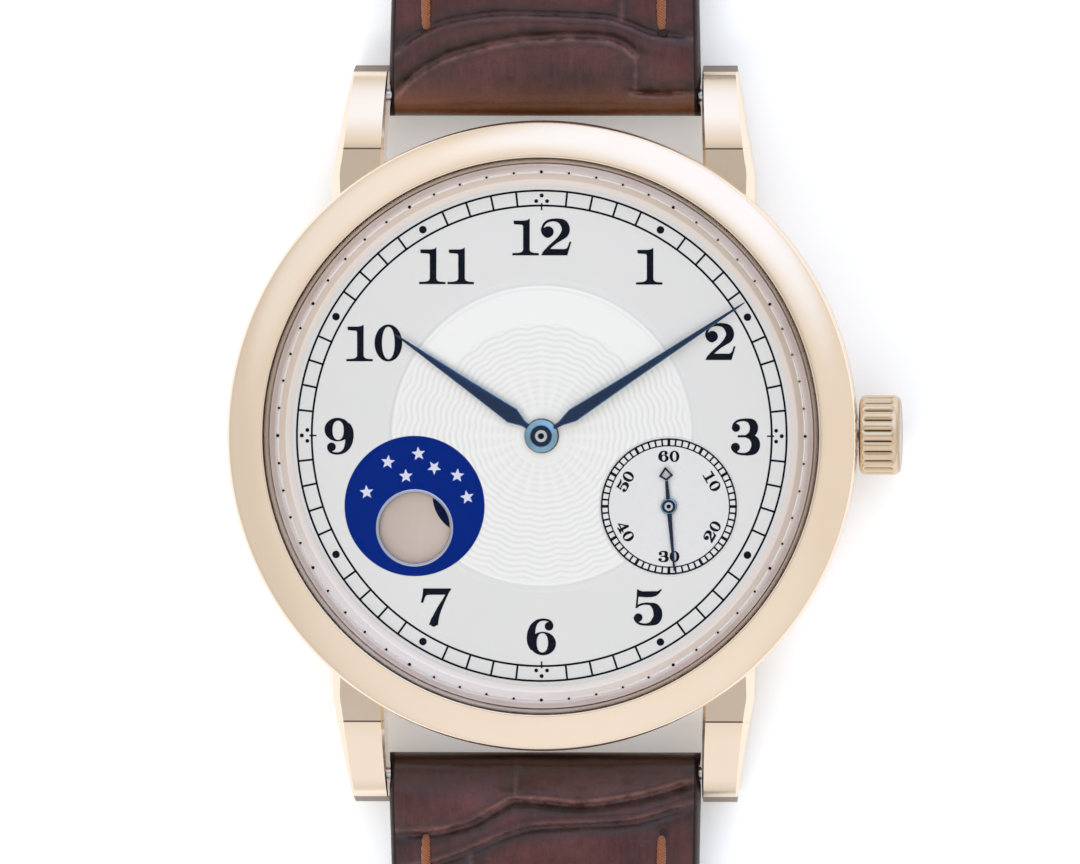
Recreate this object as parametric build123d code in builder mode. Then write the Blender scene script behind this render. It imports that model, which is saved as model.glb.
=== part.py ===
from build123d import *
import math
import os

os.makedirs("parts", exist_ok=True)

# Hand-wound wristwatch with small seconds and moon phase, lying face up with the strap open.
# +Z is the dial normal, +Y points to 12 o'clock, +X to 3 o'clock.
# Origin: centre of the case back's outer plane. All sizes in millimetres.

# ---------------------------------------------------------------- driving dimensions
case_r = 18.0                 # widest radius of the case, at the bezel foot
band_bottom_z = 1.15          # underside of the case band, where the back ring seats
band_top_z = 4.6              # shoulder that carries the bezel
bezel_top_z = 7.0
glass_top_z = 7.8
bore_r = 15.2                 # bore of the band around the movement
dial_r = 15.5
dial_bottom_z = 5.45
dial_top_z = 5.85
axis_z = 3.0                  # height of the winding stem
movement_r = 15.0
lug_bar_y = 19.4              # spring bar distance from the dial centre
lug_bar_z = 2.1
lug_tip_y = 21.1
lug_in_x = 8.98               # inner faces of the lugs at their tips
strap_half_w = 8.82           # half width of the strap between the lugs
strap_end_half_w = 8.0        # half width of the strap at the buckle
upper_len_y = 93.5            # buckle bar distance from the dial centre
lower_len_y = 133.5           # tip of the long strap half
strap_base_z = 0.9            # underside of the strap beside the case

centre = (0.0, 0.0)
fourth_at = (7.27, -4.02)     # small seconds
sky_at = (-7.27, -4.02)       # moon sky plate
window_at = (-7.27, -5.27)    # round moon window
window_r = 1.87

# going train: teeth and modules
barrel_teeth, barrel_mod = 80, 0.14
centre_pinion_teeth = 10
centre_teeth, centre_mod = 80, 0.11
third_pinion_teeth = 10
third_teeth, third_mod = 75, 0.10
fourth_pinion_teeth = 10
fourth_teeth, fourth_mod = 80, 0.085
escape_pinion_teeth = 8
# motion works under the dial
cannon_teeth, minute_teeth, motion_mod_a = 12, 36, 0.105
minute_pinion_teeth, hour_teeth, motion_mod_b = 10, 40, 0.1008
day_teeth = 80
moon_teeth = 59
# winding works
ratchet_teeth, crown_wheel_teeth, winding_mod = 51, 34, 0.20056
winding_pinion_teeth = 14
tooth_play = 0.045            # play on each flank

hour_clock = 304.7            # hand positions at rest, clock degrees
minute_clock = 56.7
second_clock = 175.0


# ---------------------------------------------------------------- plain geometry helpers
def polar(origin, radius, degrees):
    a = math.radians(degrees)
    return (origin[0] + radius * math.cos(a), origin[1] + radius * math.sin(a))


def bearing(p, q):
    return math.degrees(math.atan2(q[1] - p[1], q[0] - p[0]))


def distance(p, q):
    return math.hypot(q[0] - p[0], q[1] - p[1])


def gear_points(teeth, module, phase, addendum=0.8, press=25.0, flank=2):
    """Outline of an involute gear, tooth 0 centred on the angle phase (degrees)."""
    r_p = teeth * module / 2
    r_t = r_p + addendum * module
    r_f = r_p - addendum * module - tooth_play
    a = math.radians(press)
    r_b = r_p * math.cos(a)
    half_p = (math.pi * module / 2 - tooth_play) / 2 / r_p

    def inv(x):
        return math.tan(x) - x

    def half(r):
        if r <= r_b:
            return half_p + inv(a)
        return half_p + inv(a) - inv(math.acos(r_b / r))

    r0 = max(r_f, min(r_b, r_t))
    radii = [r0 + (r_t - r0) * i / flank for i in range(flank + 1)]
    pts = []
    for k in range(teeth):
        c = math.radians(phase) + 2 * math.pi * k / teeth
        row = [(r, c - half(r)) for r in radii] + [(r, c + half(r)) for r in reversed(radii)]
        if r_f < r0 - 1e-6:
            row = [(r_f, c - half(r0))] + row + [(r_f, c + half(r0))]
        pts += [(r * math.cos(t), r * math.sin(t)) for r, t in row]
    return pts


def mate_phase(angle, teeth_a, phase_a, teeth_b):
    """Phase of gear b, in mesh with gear a, whose centre lies at angle from a (degrees)."""
    u = (angle - phase_a) * teeth_a / 360.0
    return angle + 180.0 - (0.5 - u) * 360.0 / teeth_b


def saw_points(teeth, root_r, tip_r, phase, lean):
    pts = []
    for k in range(teeth):
        c = math.radians(phase) + 2 * math.pi * k / teeth
        step = 2 * math.pi / teeth
        pts.append((root_r * math.cos(c - 0.5 * step), root_r * math.sin(c - 0.5 * step)))
        pts.append((tip_r * math.cos(c + lean * step), tip_r * math.sin(c + lean * step)))
    return pts


def spiral_points(r0, r1, turns, start, thick, per_turn=20):
    n = int(turns * per_turn)
    outer, inner = [], []
    for i in range(n + 1):
        a = math.radians(start) + 2 * math.pi * turns * i / n
        r = r0 + (r1 - r0) * i / n
        outer.append(((r + thick / 2) * math.cos(a), (r + thick / 2) * math.sin(a)))
        inner.append(((r - thick / 2) * math.cos(a), (r - thick / 2) * math.sin(a)))
    return outer + inner[::-1]


def at(p, z):
    return Plane(origin=(p[0], p[1], z))


def hand_points(profile):
    """Closed outline of a hand pointing along +X from (distance, half width) pairs."""
    return [(d, w) for d, w in profile] + [(d, -w) for d, w in reversed(profile) if w > 0]


# ---------------------------------------------------------------- train positions
reach_3 = centre_mod * (centre_teeth + third_pinion_teeth) / 2
reach_4 = third_mod * (third_teeth + fourth_pinion_teeth) / 2
span = distance(centre, fourth_at)
along = (reach_3 ** 2 - reach_4 ** 2 + span ** 2) / (2 * span)
side = math.sqrt(reach_3 ** 2 - along ** 2)
ux, uy = fourth_at[0] / span, fourth_at[1] / span
third_at = (along * ux + side * uy, along * uy - side * ux)
reach_e = fourth_mod * (fourth_teeth + escape_pinion_teeth) / 2
escape_at = polar(fourth_at, reach_e, -114.8)
balance_at = (0.6, -9.75)
escape_tip_r = 2.1
pallet_reach = escape_tip_r / math.cos(math.radians(30))
pallet_at = polar(escape_at, pallet_reach, bearing(escape_at, balance_at))
barrel_at = polar(centre, barrel_mod * (barrel_teeth + centre_pinion_teeth) / 2, 75.0)
crown_wheel_at = (7.6, 0.0)
minute_at = polar(centre, motion_mod_a * (cannon_teeth + minute_teeth) / 2, -60.0)
day_at = polar(centre, motion_mod_b * (hour_teeth + day_teeth) / 2, 115.0)
moon_at = polar(window_at, 3.2, 82.0)

# tooth phases, so that every pair is in mesh at rest
centre_pinion_phase = 4.0
barrel_phase = mate_phase(bearing(centre, barrel_at), centre_pinion_teeth, centre_pinion_phase, barrel_teeth)
centre_phase = 0.0
third_pinion_phase = mate_phase(bearing(centre, third_at), centre_teeth, centre_phase, third_pinion_teeth)
third_phase = 1.0
fourth_pinion_phase = mate_phase(bearing(third_at, fourth_at), third_teeth, third_phase, fourth_pinion_teeth)
fourth_phase = 0.5
escape_pinion_phase = mate_phase(bearing(fourth_at, escape_at), fourth_teeth, fourth_phase, escape_pinion_teeth)
cannon_phase = 0.0
minute_phase = mate_phase(bearing(centre, minute_at), cannon_teeth, cannon_phase, minute_teeth)
minute_pinion_phase = 3.0
hour_phase = mate_phase(bearing(minute_at, centre), minute_pinion_teeth, minute_pinion_phase, hour_teeth)
day_phase = mate_phase(bearing(centre, day_at), hour_teeth, hour_phase, day_teeth)
crown_wheel_phase = 0.0
ratchet_phase = mate_phase(bearing(crown_wheel_at, barrel_at), crown_wheel_teeth, crown_wheel_phase, ratchet_teeth)

screw_r = 14.1
plate_screw_angles = (60.0, 112.0, 160.0, -24.0)
clamp_angles = (35.0, 186.0)
cock_foot = (-6.25, -10.55)
back_screw_angles = (30.0, 90.0, 150.0, 210.0, 270.0, 330.0)
corrector_angle = 196.0

# ---------------------------------------------------------------- case band
with BuildPart() as case_band:
    with BuildSketch(Plane.XZ):
        with BuildLine():
            Polyline(
                (17.5, band_bottom_z), (16.3, band_bottom_z), (16.3, 1.45), (15.85, 1.45),
                (15.85, band_bottom_z), (15.75, band_bottom_z), (15.75, 1.45), (bore_r, 1.45),
                (bore_r, dial_bottom_z), (15.55, dial_bottom_z), (15.55, band_top_z), (17.8, band_top_z),
            )
            ThreePointArc((17.8, band_top_z), (17.95, 3.0), (17.5, band_bottom_z))
        make_face()
    revolve(axis=Axis.Z)
    # bore for the crown tube
    with BuildSketch(Plane.YZ.offset(14.0)):
        with Locations((0, axis_z)):
            Circle(1.0)
    extrude(amount=5.0, mode=Mode.SUBTRACT)
    # stepped bore for the moon corrector
    with BuildSketch(Plane(origin=polar(centre, 14.0, corrector_angle) + (axis_z,),
                           z_dir=polar((0, 0), 1.0, corrector_angle) + (0,))):
        Circle(0.5)
    extrude(amount=5.0, mode=Mode.SUBTRACT)
    with BuildSketch(Plane(origin=polar(centre, 16.6, corrector_angle) + (axis_z,),
                           z_dir=polar((0, 0), 1.0, corrector_angle) + (0,))):
        Circle(0.85)
    extrude(amount=3.0, mode=Mode.SUBTRACT)
    # threaded holes for the case back screws
    with BuildSketch(Plane.XY.offset(band_bottom_z)):
        with Locations(*[polar(centre, 16.8, a) for a in back_screw_angles]):
            Circle(0.31)
    extrude(amount=1.7, mode=Mode.SUBTRACT)
case_band.part.label = "case_band"
export_step(case_band.part, "parts/case_band.step")

# outer form of the case, used to trim the lug roots
with BuildPart() as case_form:
    with BuildSketch(Plane.XZ):
        with BuildLine():
            Polyline((17.5, band_bottom_z), (17.5, 0), (0, 0), (0, 6.0), (case_r, 6.0), (case_r, band_top_z), (17.8, band_top_z))
            ThreePointArc((17.8, band_top_z), (17.95, 3.0), (17.5, band_bottom_z))
        make_face()
    revolve(axis=Axis.Z)

# ---------------------------------------------------------------- lugs
with BuildPart() as lugs:
    with BuildSketch(Plane.YZ.offset(8.8)):
        with BuildLine():
            Polyline((12.5, 1.35), (12.5, 4.55), (16.4, 4.5))
            ThreePointArc((16.4, 4.5), (19.0, 3.72), (20.72, 2.35))
            Line((20.72, 2.35), (lug_tip_y, 0.85))
            ThreePointArc((lug_tip_y, 0.85), (18.4, 0.78), (15.6, 1.35))
            Line((15.6, 1.35), (12.5, 1.35))
        make_face()
    extrude(amount=3.6)
    with BuildSketch(Plane.XY):
        with BuildLine():
            Polyline((9.24, 12.0), (lug_in_x, lug_tip_y + 0.2), (10.9, lug_tip_y + 0.2), (11.95, 15.6),
                     (12.1, 14.9), (12.1, 12.0), close=True)
        make_face()
    extrude(amount=6.0, mode=Mode.INTERSECT)
    top_out = lugs.edges().filter_by(lambda e: e.center().X > 10.8 and e.center().Z > 3.0 and e.length > 2.0
                                     and abs(e.tangent_at(0.5).Y) > 0.6)
    chamfer(top_out, 0.3)
    add(case_form.part, mode=Mode.SUBTRACT)
    # blind hole for the spring bar pivot
    with BuildSketch(Plane.YZ.offset(8.5)):
        with Locations((lug_bar_y, lug_bar_z)):
            Circle(0.4)
    extrude(amount=1.4, mode=Mode.SUBTRACT)
    mirror(about=Plane.YZ)
    mirror(about=Plane.XZ)
lugs.part.label = "lugs"
export_step(lugs.part, "parts/lugs.step")

# ---------------------------------------------------------------- bezel, glass, gasket, flange
with BuildPart() as bezel:
    with BuildSketch(Plane.XZ):
        with BuildLine():
            Polyline((15.95, bezel_top_z), (15.6, bezel_top_z - 0.05), (15.6, band_top_z), (17.85, band_top_z), (case_r, 4.75), (case_r, 5.05))
            ThreePointArc((case_r, 5.05), (17.42, 6.42), (15.95, bezel_top_z))
        make_face()
    revolve(axis=Axis.Z)
bezel.part.label = "bezel"
export_step(bezel.part, "parts/bezel.step")

with BuildPart() as front_crystal:
    with BuildSketch(Plane.XZ):
        with BuildLine():
            Line((0, glass_top_z), (0, 6.95))
            Spline((0, 6.95), (7.55, 6.813), (15.1, 6.4), tangents=((1, 0), (1, -0.072)))
            Line((15.1, 6.4), (15.1, 6.95))
            Spline((15.1, 6.95), (7.55, 7.588), (0, glass_top_z), tangents=((-1, 0.112), (-1, 0)))
        make_face()
    revolve(axis=Axis.Z)
front_crystal.part.label = "front_crystal"
export_step(front_crystal.part, "parts/front_crystal.step")

with BuildPart() as crystal_gasket:
    with BuildSketch(Plane.XY.offset(6.4)):
        Circle(15.57)
        Circle(15.12, mode=Mode.SUBTRACT)
    extrude(amount=0.5)
crystal_gasket.part.label = "crystal_gasket"
export_step(crystal_gasket.part, "parts/crystal_gasket.step")

with BuildPart() as flange_ring:
    with BuildSketch(Plane.XZ):
        with BuildLine():
            Polyline((14.25, dial_top_z), (15.56, dial_top_z), (15.56, 6.38), (15.32, 6.38), (14.25, 5.9), close=True)
        make_face()
    revolve(axis=Axis.Z)
flange_ring.part.label = "flange_ring"
export_step(flange_ring.part, "parts/flange_ring.step")

# ---------------------------------------------------------------- dial
with BuildPart() as dial:
    with BuildSketch(Plane.XY.offset(dial_bottom_z)):
        Circle(dial_r)
        Circle(0.98, mode=Mode.SUBTRACT)
        with Locations(fourth_at):
            Circle(0.33, mode=Mode.SUBTRACT)
        with Locations(window_at):
            Circle(2.1, mode=Mode.SUBTRACT)
    extrude(amount=dial_top_z - dial_bottom_z)
    # sunk seconds sub-dial and seat of the sky plate
    with BuildSketch(Plane.XY.offset(dial_top_z - 0.07)):
        with Locations(fourth_at):
            Circle(3.92)
    extrude(amount=0.2, mode=Mode.SUBTRACT)
    with BuildSketch(Plane.XY.offset(5.6)):
        with Locations(sky_at):
            Circle(4.03)
    extrude(amount=0.5, mode=Mode.SUBTRACT)
dial.part.label = "dial"
export_step(dial.part, "parts/dial.step")

with BuildPart() as moon_sky_plate:
    with BuildSketch(Plane.XY.offset(5.6)):
        with Locations(sky_at):
            Circle(4.0)
        with Locations(window_at):
            Circle(2.04, mode=Mode.SUBTRACT)
    extrude(amount=0.26)
moon_sky_plate.part.label = "moon_sky_plate"
export_step(moon_sky_plate.part, "parts/moon_sky_plate.step")

with BuildPart() as moon_window_ring:
    with BuildSketch(Plane(origin=(window_at[0], window_at[1], 0), x_dir=(1, 0, 0), z_dir=(0, -1, 0))):
        with BuildLine():
            Polyline((window_r, 5.47), (2.02, 5.47), (2.02, 5.93), (1.97, 5.93), (window_r, 5.83), close=True)
        make_face()
    revolve(axis=Axis((window_at[0], window_at[1], 0), (0, 0, 1)))
moon_window_ring.part.label = "moon_window_ring"
export_step(moon_window_ring.part, "parts/moon_window_ring.step")

# ---------------------------------------------------------------- case back
with BuildPart() as caseback_ring:
    with BuildSketch(Plane.XZ):
        with BuildLine():
            Polyline((12.35, 0.12), (12.6, 0.0), (16.2, 0.0), (17.42, 0.75), (17.42, band_bottom_z), (15.76, band_bottom_z), (15.76, 0.88), (13.0, 0.88),
                     (13.0, 0.82), (12.35, 0.82), close=True)
        make_face()
    revolve(axis=Axis.Z)
    with BuildSketch(Plane.XY.offset(0.0)):
        with Locations(*[polar(centre, 16.8, a) for a in back_screw_angles]):
            Circle(0.31)
    extrude(amount=2.0, mode=Mode.SUBTRACT)
    with BuildSketch(Plane.XY.offset(0.0)):
        with Locations(*[polar(centre, 16.8, a) for a in back_screw_angles]):
            Circle(0.56)
    extrude(amount=0.72, mode=Mode.SUBTRACT)
caseback_ring.part.label = "caseback_ring"
export_step(caseback_ring.part, "parts/caseback_ring.step")

with BuildPart() as caseback_crystal:
    with BuildSketch(Plane.XY.offset(0.0)):
        Circle(12.3)
    extrude(amount=0.8)
caseback_crystal.part.label = "caseback_crystal"
export_step(caseback_crystal.part, "parts/caseback_crystal.step")

with BuildPart() as caseback_gasket:
    with BuildSketch(Plane.XY.offset(band_bottom_z)):
        Circle(16.25)
        Circle(15.9, mode=Mode.SUBTRACT)
    extrude(amount=0.28)
caseback_gasket.part.label = "caseback_gasket"
export_step(caseback_gasket.part, "parts/caseback_gasket.step")

with BuildPart() as caseback_screws:
    with BuildSketch(Plane.XY.offset(0.34)):
        with Locations(*[polar(centre, 16.8, a) for a in back_screw_angles]):
            Circle(0.52)
    extrude(amount=0.38)
    with BuildSketch(Plane.XY.offset(0.7)):
        with Locations(*[polar(centre, 16.8, a) for a in back_screw_angles]):
            Circle(0.29)
    extrude(amount=2.0)
    with BuildSketch(Plane.XY.offset(0.3)):
        for a in back_screw_angles:
            with Locations(Location(polar(centre, 16.8, a) + (0,), (0, 0, a + 35))):
                Rectangle(1.2, 0.14)
    extrude(amount=0.18, mode=Mode.SUBTRACT)
caseback_screws.part.label = "caseback_screws"
export_step(caseback_screws.part, "parts/caseback_screws.step")

# ---------------------------------------------------------------- crown, tube, corrector
with BuildPart() as crown_tube:
    with BuildSketch(Plane.YZ.offset(15.25)):
        with Locations((0, axis_z)):
            Circle(0.99)
            Circle(0.7, mode=Mode.SUBTRACT)
    extrude(amount=4.1)
crown_tube.part.label = "crown_tube"
export_step(crown_tube.part, "parts/crown_tube.step")

crown_x0, crown_x1, crown_r = 18.06, 20.43, 2.29
with BuildPart() as crown:
    with BuildSketch(Plane.YZ.offset(crown_x0)):
        with Locations((0, axis_z)):
            Circle(crown_r)
            with PolarLocations(crown_r + 0.10, 22):
                Circle(0.2, mode=Mode.SUBTRACT)
    extrude(amount=crown_x1 - crown_x0)
    with BuildSketch(Plane(origin=(0, 0, axis_z), x_dir=(1, 0, 0), z_dir=(0, -1, 0))):
        with BuildLine():
            Polyline((crown_x0, 0), (crown_x0, 1.95))
            ThreePointArc((crown_x0, 1.95), (crown_x0 + 0.12, 2.2), (crown_x0 + 0.38, 2.3))
            Line((crown_x0 + 0.38, 2.3), (crown_x1 - 0.5, 2.3))
            ThreePointArc((crown_x1 - 0.5, 2.3), (crown_x1 - 0.16, 2.14), (crown_x1, 1.8))
            Polyline((crown_x1, 1.8), (crown_x1, 0), (crown_x0, 0))
        make_face()
    revolve(axis=Axis((0, 0, axis_z), (1, 0, 0)), mode=Mode.INTERSECT)
    with BuildSketch(Plane.YZ.offset(crown_x0)):
        with Locations((0, axis_z)):
            Circle(1.3)
    extrude(amount=1.45, mode=Mode.SUBTRACT)
    with BuildSketch(Plane.YZ.offset(crown_x0 + 1.4)):
        with Locations((0, axis_z)):
            Circle(0.61)
    extrude(amount=0.55, mode=Mode.SUBTRACT)
crown.part.label = "crown"
export_step(crown.part, "parts/crown.step")

with BuildPart() as crown_gasket:
    with BuildSketch(Plane.YZ.offset(18.16)):
        with Locations((0, axis_z)):
            Circle(1.25)
            Circle(1.04, mode=Mode.SUBTRACT)
    extrude(amount=0.32)
crown_gasket.part.label = "crown_gasket"
export_step(crown_gasket.part, "parts/crown_gasket.step")

corrector_dir = polar((0, 0), 1.0, corrector_angle) + (0,)
with BuildPart() as moon_corrector:
    with BuildSketch(Plane(origin=polar(centre, 16.95, corrector_angle) + (axis_z,), z_dir=corrector_dir)):
        Circle(0.78)
    extrude(amount=0.75)
    with BuildSketch(Plane(origin=polar(centre, 15.4, corrector_angle) + (axis_z,), z_dir=corrector_dir)):
        Circle(0.44)
    extrude(amount=1.6)
moon_corrector.part.label = "moon_corrector"
export_step(moon_corrector.part, "parts/moon_corrector.step")

# ---------------------------------------------------------------- main plate
with BuildPart() as main_plate:
    with BuildSketch(Plane.XY.offset(4.05)):
        Circle(movement_r)
    extrude(amount=0.9)
    with BuildSketch(Plane.XY.offset(2.25)):
        Circle(movement_r)
        Circle(13.45, mode=Mode.SUBTRACT)
        with Locations(balance_at, (0.9, -14.5)):
            Circle(4.95, mode=Mode.SUBTRACT)
    extrude(amount=1.8)
    # bearing block of the stem's pilot
    with BuildSketch(Plane.XY.offset(2.45)):
        with Locations((8.3, 0.2)):
            Rectangle(0.6, 1.4)
    extrude(amount=1.6)
    with BuildSketch(Plane.YZ.offset(7.5)):
        with Locations((0, axis_z)):
            Circle(0.33)
    extrude(amount=2.0, mode=Mode.SUBTRACT)
    with BuildSketch(Plane.YZ.offset(12.5)):
        with Locations((0, axis_z)):
            Circle(0.67)
    extrude(amount=3.0, mode=Mode.SUBTRACT)
    # recess under the winding pinion
    with BuildSketch(Plane.XY.offset(4.0)):
        with Locations((11.2, 0)):
            Rectangle(1.5, 3.2)
    extrude(amount=0.55, mode=Mode.SUBTRACT)
    # recesses of the motion works on the dial side
    with BuildSketch(Plane.XY.offset(4.5)):
        Circle(0.95)
        with Locations(minute_at):
            Circle(2.08)
    extrude(amount=1.0, mode=Mode.SUBTRACT)
    # arbor holes
    with BuildSketch(Plane.XY.offset(3.9)):
        Circle(0.62)
        with Locations(third_at, fourth_at, escape_at, pallet_at, balance_at):
            Circle(0.45)
        with Locations(barrel_at):
            Circle(0.56)
    extrude(amount=0.58, mode=Mode.SUBTRACT)
    with BuildSketch(Plane.XY.offset(4.4)):
        Circle(0.4)
        with Locations(fourth_at):
            Circle(0.31)
        with Locations(barrel_at):
            Circle(0.56)
    extrude(amount=0.6, mode=Mode.SUBTRACT)
    with BuildSketch(Plane.XY.offset(2.2)):
        with Locations(*[polar(centre, screw_r, a) for a in plate_screw_angles], *[polar(centre, 14.0, a) for a in clamp_angles]):
            Circle(0.31)
    extrude(amount=1.3, mode=Mode.SUBTRACT)
    with BuildSketch(Plane.XY.offset(4.0)):
        with Locations(cock_foot, (3.25, -11.3), (4.75, -11.0)):
            Circle(0.31)
    extrude(amount=0.7, mode=Mode.SUBTRACT)
    # posts of the minute wheel, the moon disc and the 24-hour wheel
    with BuildSketch(Plane.XY.offset(4.5)):
        with Locations(minute_at):
            Circle(0.2)
    extrude(amount=0.8)
    with BuildSketch(Plane.XY.offset(4.95)):
        with Locations(moon_at):
            Circle(0.3)
    extrude(amount=0.45)
    with BuildSketch(Plane.XY.offset(4.95)):
        with Locations(day_at):
            Circle(0.3)
    extrude(amount=0.42)
main_plate.part.label = "main_plate"
export_step(main_plate.part, "parts/main_plate.step")

# ---------------------------------------------------------------- three-quarter plate
with BuildPart() as three_quarter_plate:
    with BuildSketch(Plane.XY.offset(1.45)):
        Circle(14.9)
        with Locations(balance_at, (0.9, -14.5), (0.7, -12.0)):
            Circle(4.78, mode=Mode.SUBTRACT)
        with Locations(Location((-2.9, -10.35, 0), (0, 0, bearing(balance_at, cock_foot)))):
            SlotOverall(13.0, 4.4, mode=Mode.SUBTRACT)
        with Locations(third_at, fourth_at, escape_at, centre):
            Circle(0.45, mode=Mode.SUBTRACT)
        with Locations(barrel_at):
            Circle(0.86, mode=Mode.SUBTRACT)
        with Locations((11.2, 0)):
            Rectangle(1.3, 3.1, mode=Mode.SUBTRACT)
        with Locations((9.7, 0)):
            Rectangle(2.4, 2.2, mode=Mode.SUBTRACT)
        with BuildLine():
            Polyline((-9.4, -10.4), (-4.0, -9.5), (0, -12), (0, -16), (-7.0, -16), (-9.6, -12.4), close=True)
        make_face(mode=Mode.SUBTRACT)
        with Locations(*[polar(centre, screw_r, a) for a in plate_screw_angles], *[polar(centre, 14.0, a) for a in clamp_angles]):
            Circle(0.31, mode=Mode.SUBTRACT)
    extrude(amount=0.8)
    with BuildSketch(Plane.XY.offset(1.4)):
        with Locations(*[polar(centre, screw_r, a) for a in plate_screw_angles]):
            Circle(0.74)
    extrude(amount=0.35, mode=Mode.SUBTRACT)
    # post of the crown wheel
    with BuildSketch(Plane.XY.offset(1.13)):
        with Locations(crown_wheel_at):
            Circle(0.8)
    extrude(amount=0.4)
three_quarter_plate.part.label = "three_quarter_plate"
export_step(three_quarter_plate.part, "parts/three_quarter_plate.step")

# ---------------------------------------------------------------- pallet bridge and balance cock
with BuildPart() as pallet_bridge:
    with BuildSketch(Plane.XY.offset(2.5)):
        with BuildLine():
            Polyline((pallet_at[0] - 0.62, pallet_at[1] + 0.35), (pallet_at[0] + 0.3, pallet_at[1] + 0.68),
                     (pallet_at[0] + 0.85, pallet_at[1] - 0.1), (5.5, -10.55), (5.45, -11.75), (2.6, -12.15), (2.45, -10.9), close=True)
        make_face()
        with Locations(pallet_at):
            Circle(0.42, mode=Mode.SUBTRACT)
    extrude(amount=0.4)
    with BuildSketch(Plane.XY.offset(2.9)):
        with BuildLine():
            Polyline((5.5, -10.55), (5.45, -11.75), (2.6, -12.15), (2.45, -10.9), close=True)
        make_face()
    extrude(amount=1.15)
    with BuildSketch(Plane.XY.offset(2.4)):
        with Locations((3.25, -11.3), (4.75, -11.0)):
            Circle(0.31)
    extrude(amount=2.0, mode=Mode.SUBTRACT)
    with BuildSketch(Plane.XY.offset(2.4)):
        with Locations((3.25, -11.3), (4.75, -11.0)):
            Circle(0.5)
    extrude(amount=0.28, mode=Mode.SUBTRACT)
pallet_bridge.part.label = "pallet_bridge"
export_step(pallet_bridge.part, "parts/pallet_bridge.step")

cock_turn = bearing(balance_at, cock_foot)
with BuildPart() as balance_cock:
    with BuildSketch(Plane.XY.offset(1.1)):
        with BuildLine():
            Polyline(polar(balance_at, 1.1, cock_turn + 90), polar(cock_foot, 1.12, cock_turn + 90),
                     polar(cock_foot, 1.12, cock_turn - 90), polar(balance_at, 1.1, cock_turn - 90), close=True)
        make_face()
        with Locations(balance_at):
            Circle(1.45)
        with Locations(cock_foot):
            Circle(1.12)
    extrude(amount=0.5)
    with BuildSketch(Plane.XY.offset(1.6)):
        with Locations(cock_foot):
            Circle(1.12)
    extrude(amount=2.45)
    with BuildSketch(Plane.XY.offset(1.0)):
        with Locations(balance_at):
            Circle(0.45)
        with Locations(cock_foot):
            Circle(0.31)
    extrude(amount=0.7, mode=Mode.SUBTRACT)
    with BuildSketch(Plane.XY.offset(1.6)):
        with Locations(cock_foot):
            Circle(0.31)
    extrude(amount=3.0, mode=Mode.SUBTRACT)
balance_cock.part.label = "balance_cock"
export_step(balance_cock.part, "parts/balance_cock.step")

with BuildPart() as regulator_index:
    with BuildSketch(Plane.XY.offset(0.98)):
        with Locations(balance_at):
            Circle(1.25)
            Circle(0.75, mode=Mode.SUBTRACT)
        with BuildLine():
            Polyline(polar(balance_at, 1.15, cock_turn + 8), polar(balance_at, 4.4, cock_turn + 2.5),
                     polar(balance_at, 4.75, cock_turn), polar(balance_at, 4.4, cock_turn - 2.5),
                     polar(balance_at, 1.15, cock_turn - 8), close=True)
        make_face()
    extrude(amount=0.12)
regulator_index.part.label = "regulator_index"
export_step(regulator_index.part, "parts/regulator_index.step")

# ---------------------------------------------------------------- screws, jewels, clamps
with BuildPart() as plate_screws:
    with BuildSketch(Plane.XY.offset(1.38)):
        with Locations(*[polar(centre, screw_r, a) for a in plate_screw_angles]):
            Circle(0.7)
    extrude(amount=0.37)
    with BuildSketch(Plane.XY.offset(1.7)):
        with Locations(*[polar(centre, screw_r, a) for a in plate_screw_angles]):
            Circle(0.28)
    extrude(amount=1.7)
    with BuildSketch(Plane.XY.offset(0.92)):
        with Locations(cock_foot):
            Circle(0.8)
    extrude(amount=0.18)
    with BuildSketch(Plane.XY.offset(1.05)):
        with Locations(cock_foot):
            Circle(0.28)
    extrude(amount=3.5)
    with BuildSketch(Plane.XY.offset(2.46)):
        with Locations((3.25, -11.3), (4.75, -11.0)):
            Circle(0.47)
    extrude(amount=0.22)
    with BuildSketch(Plane.XY.offset(2.6)):
        with Locations((3.25, -11.3), (4.75, -11.0)):
            Circle(0.28)
    extrude(amount=2.0)
    with BuildSketch(Plane.XY.offset(0.96)):
        with Locations(crown_wheel_at):
            Circle(1.3)
    extrude(amount=0.17)
    with BuildSketch(Plane.XY.offset(0.9)):
        for a, p in [(20 + 50 * i, polar(centre, screw_r, b)) for i, b in enumerate(plate_screw_angles)]:
            with Locations(Location(p + (0,), (0, 0, a))):
                Rectangle(1.5, 0.16)
    extrude(amount=0.6, mode=Mode.SUBTRACT)
    with BuildSketch(Plane.XY.offset(0.85)):
        with Locations(Location(cock_foot + (0,), (0, 0, 70)), Location(crown_wheel_at + (0,), (0, 0, 25))):
            Rectangle(2.8, 0.18)
    extrude(amount=0.18, mode=Mode.SUBTRACT)
plate_screws.part.label = "plate_screws"
export_step(plate_screws.part, "parts/plate_screws.step")

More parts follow.
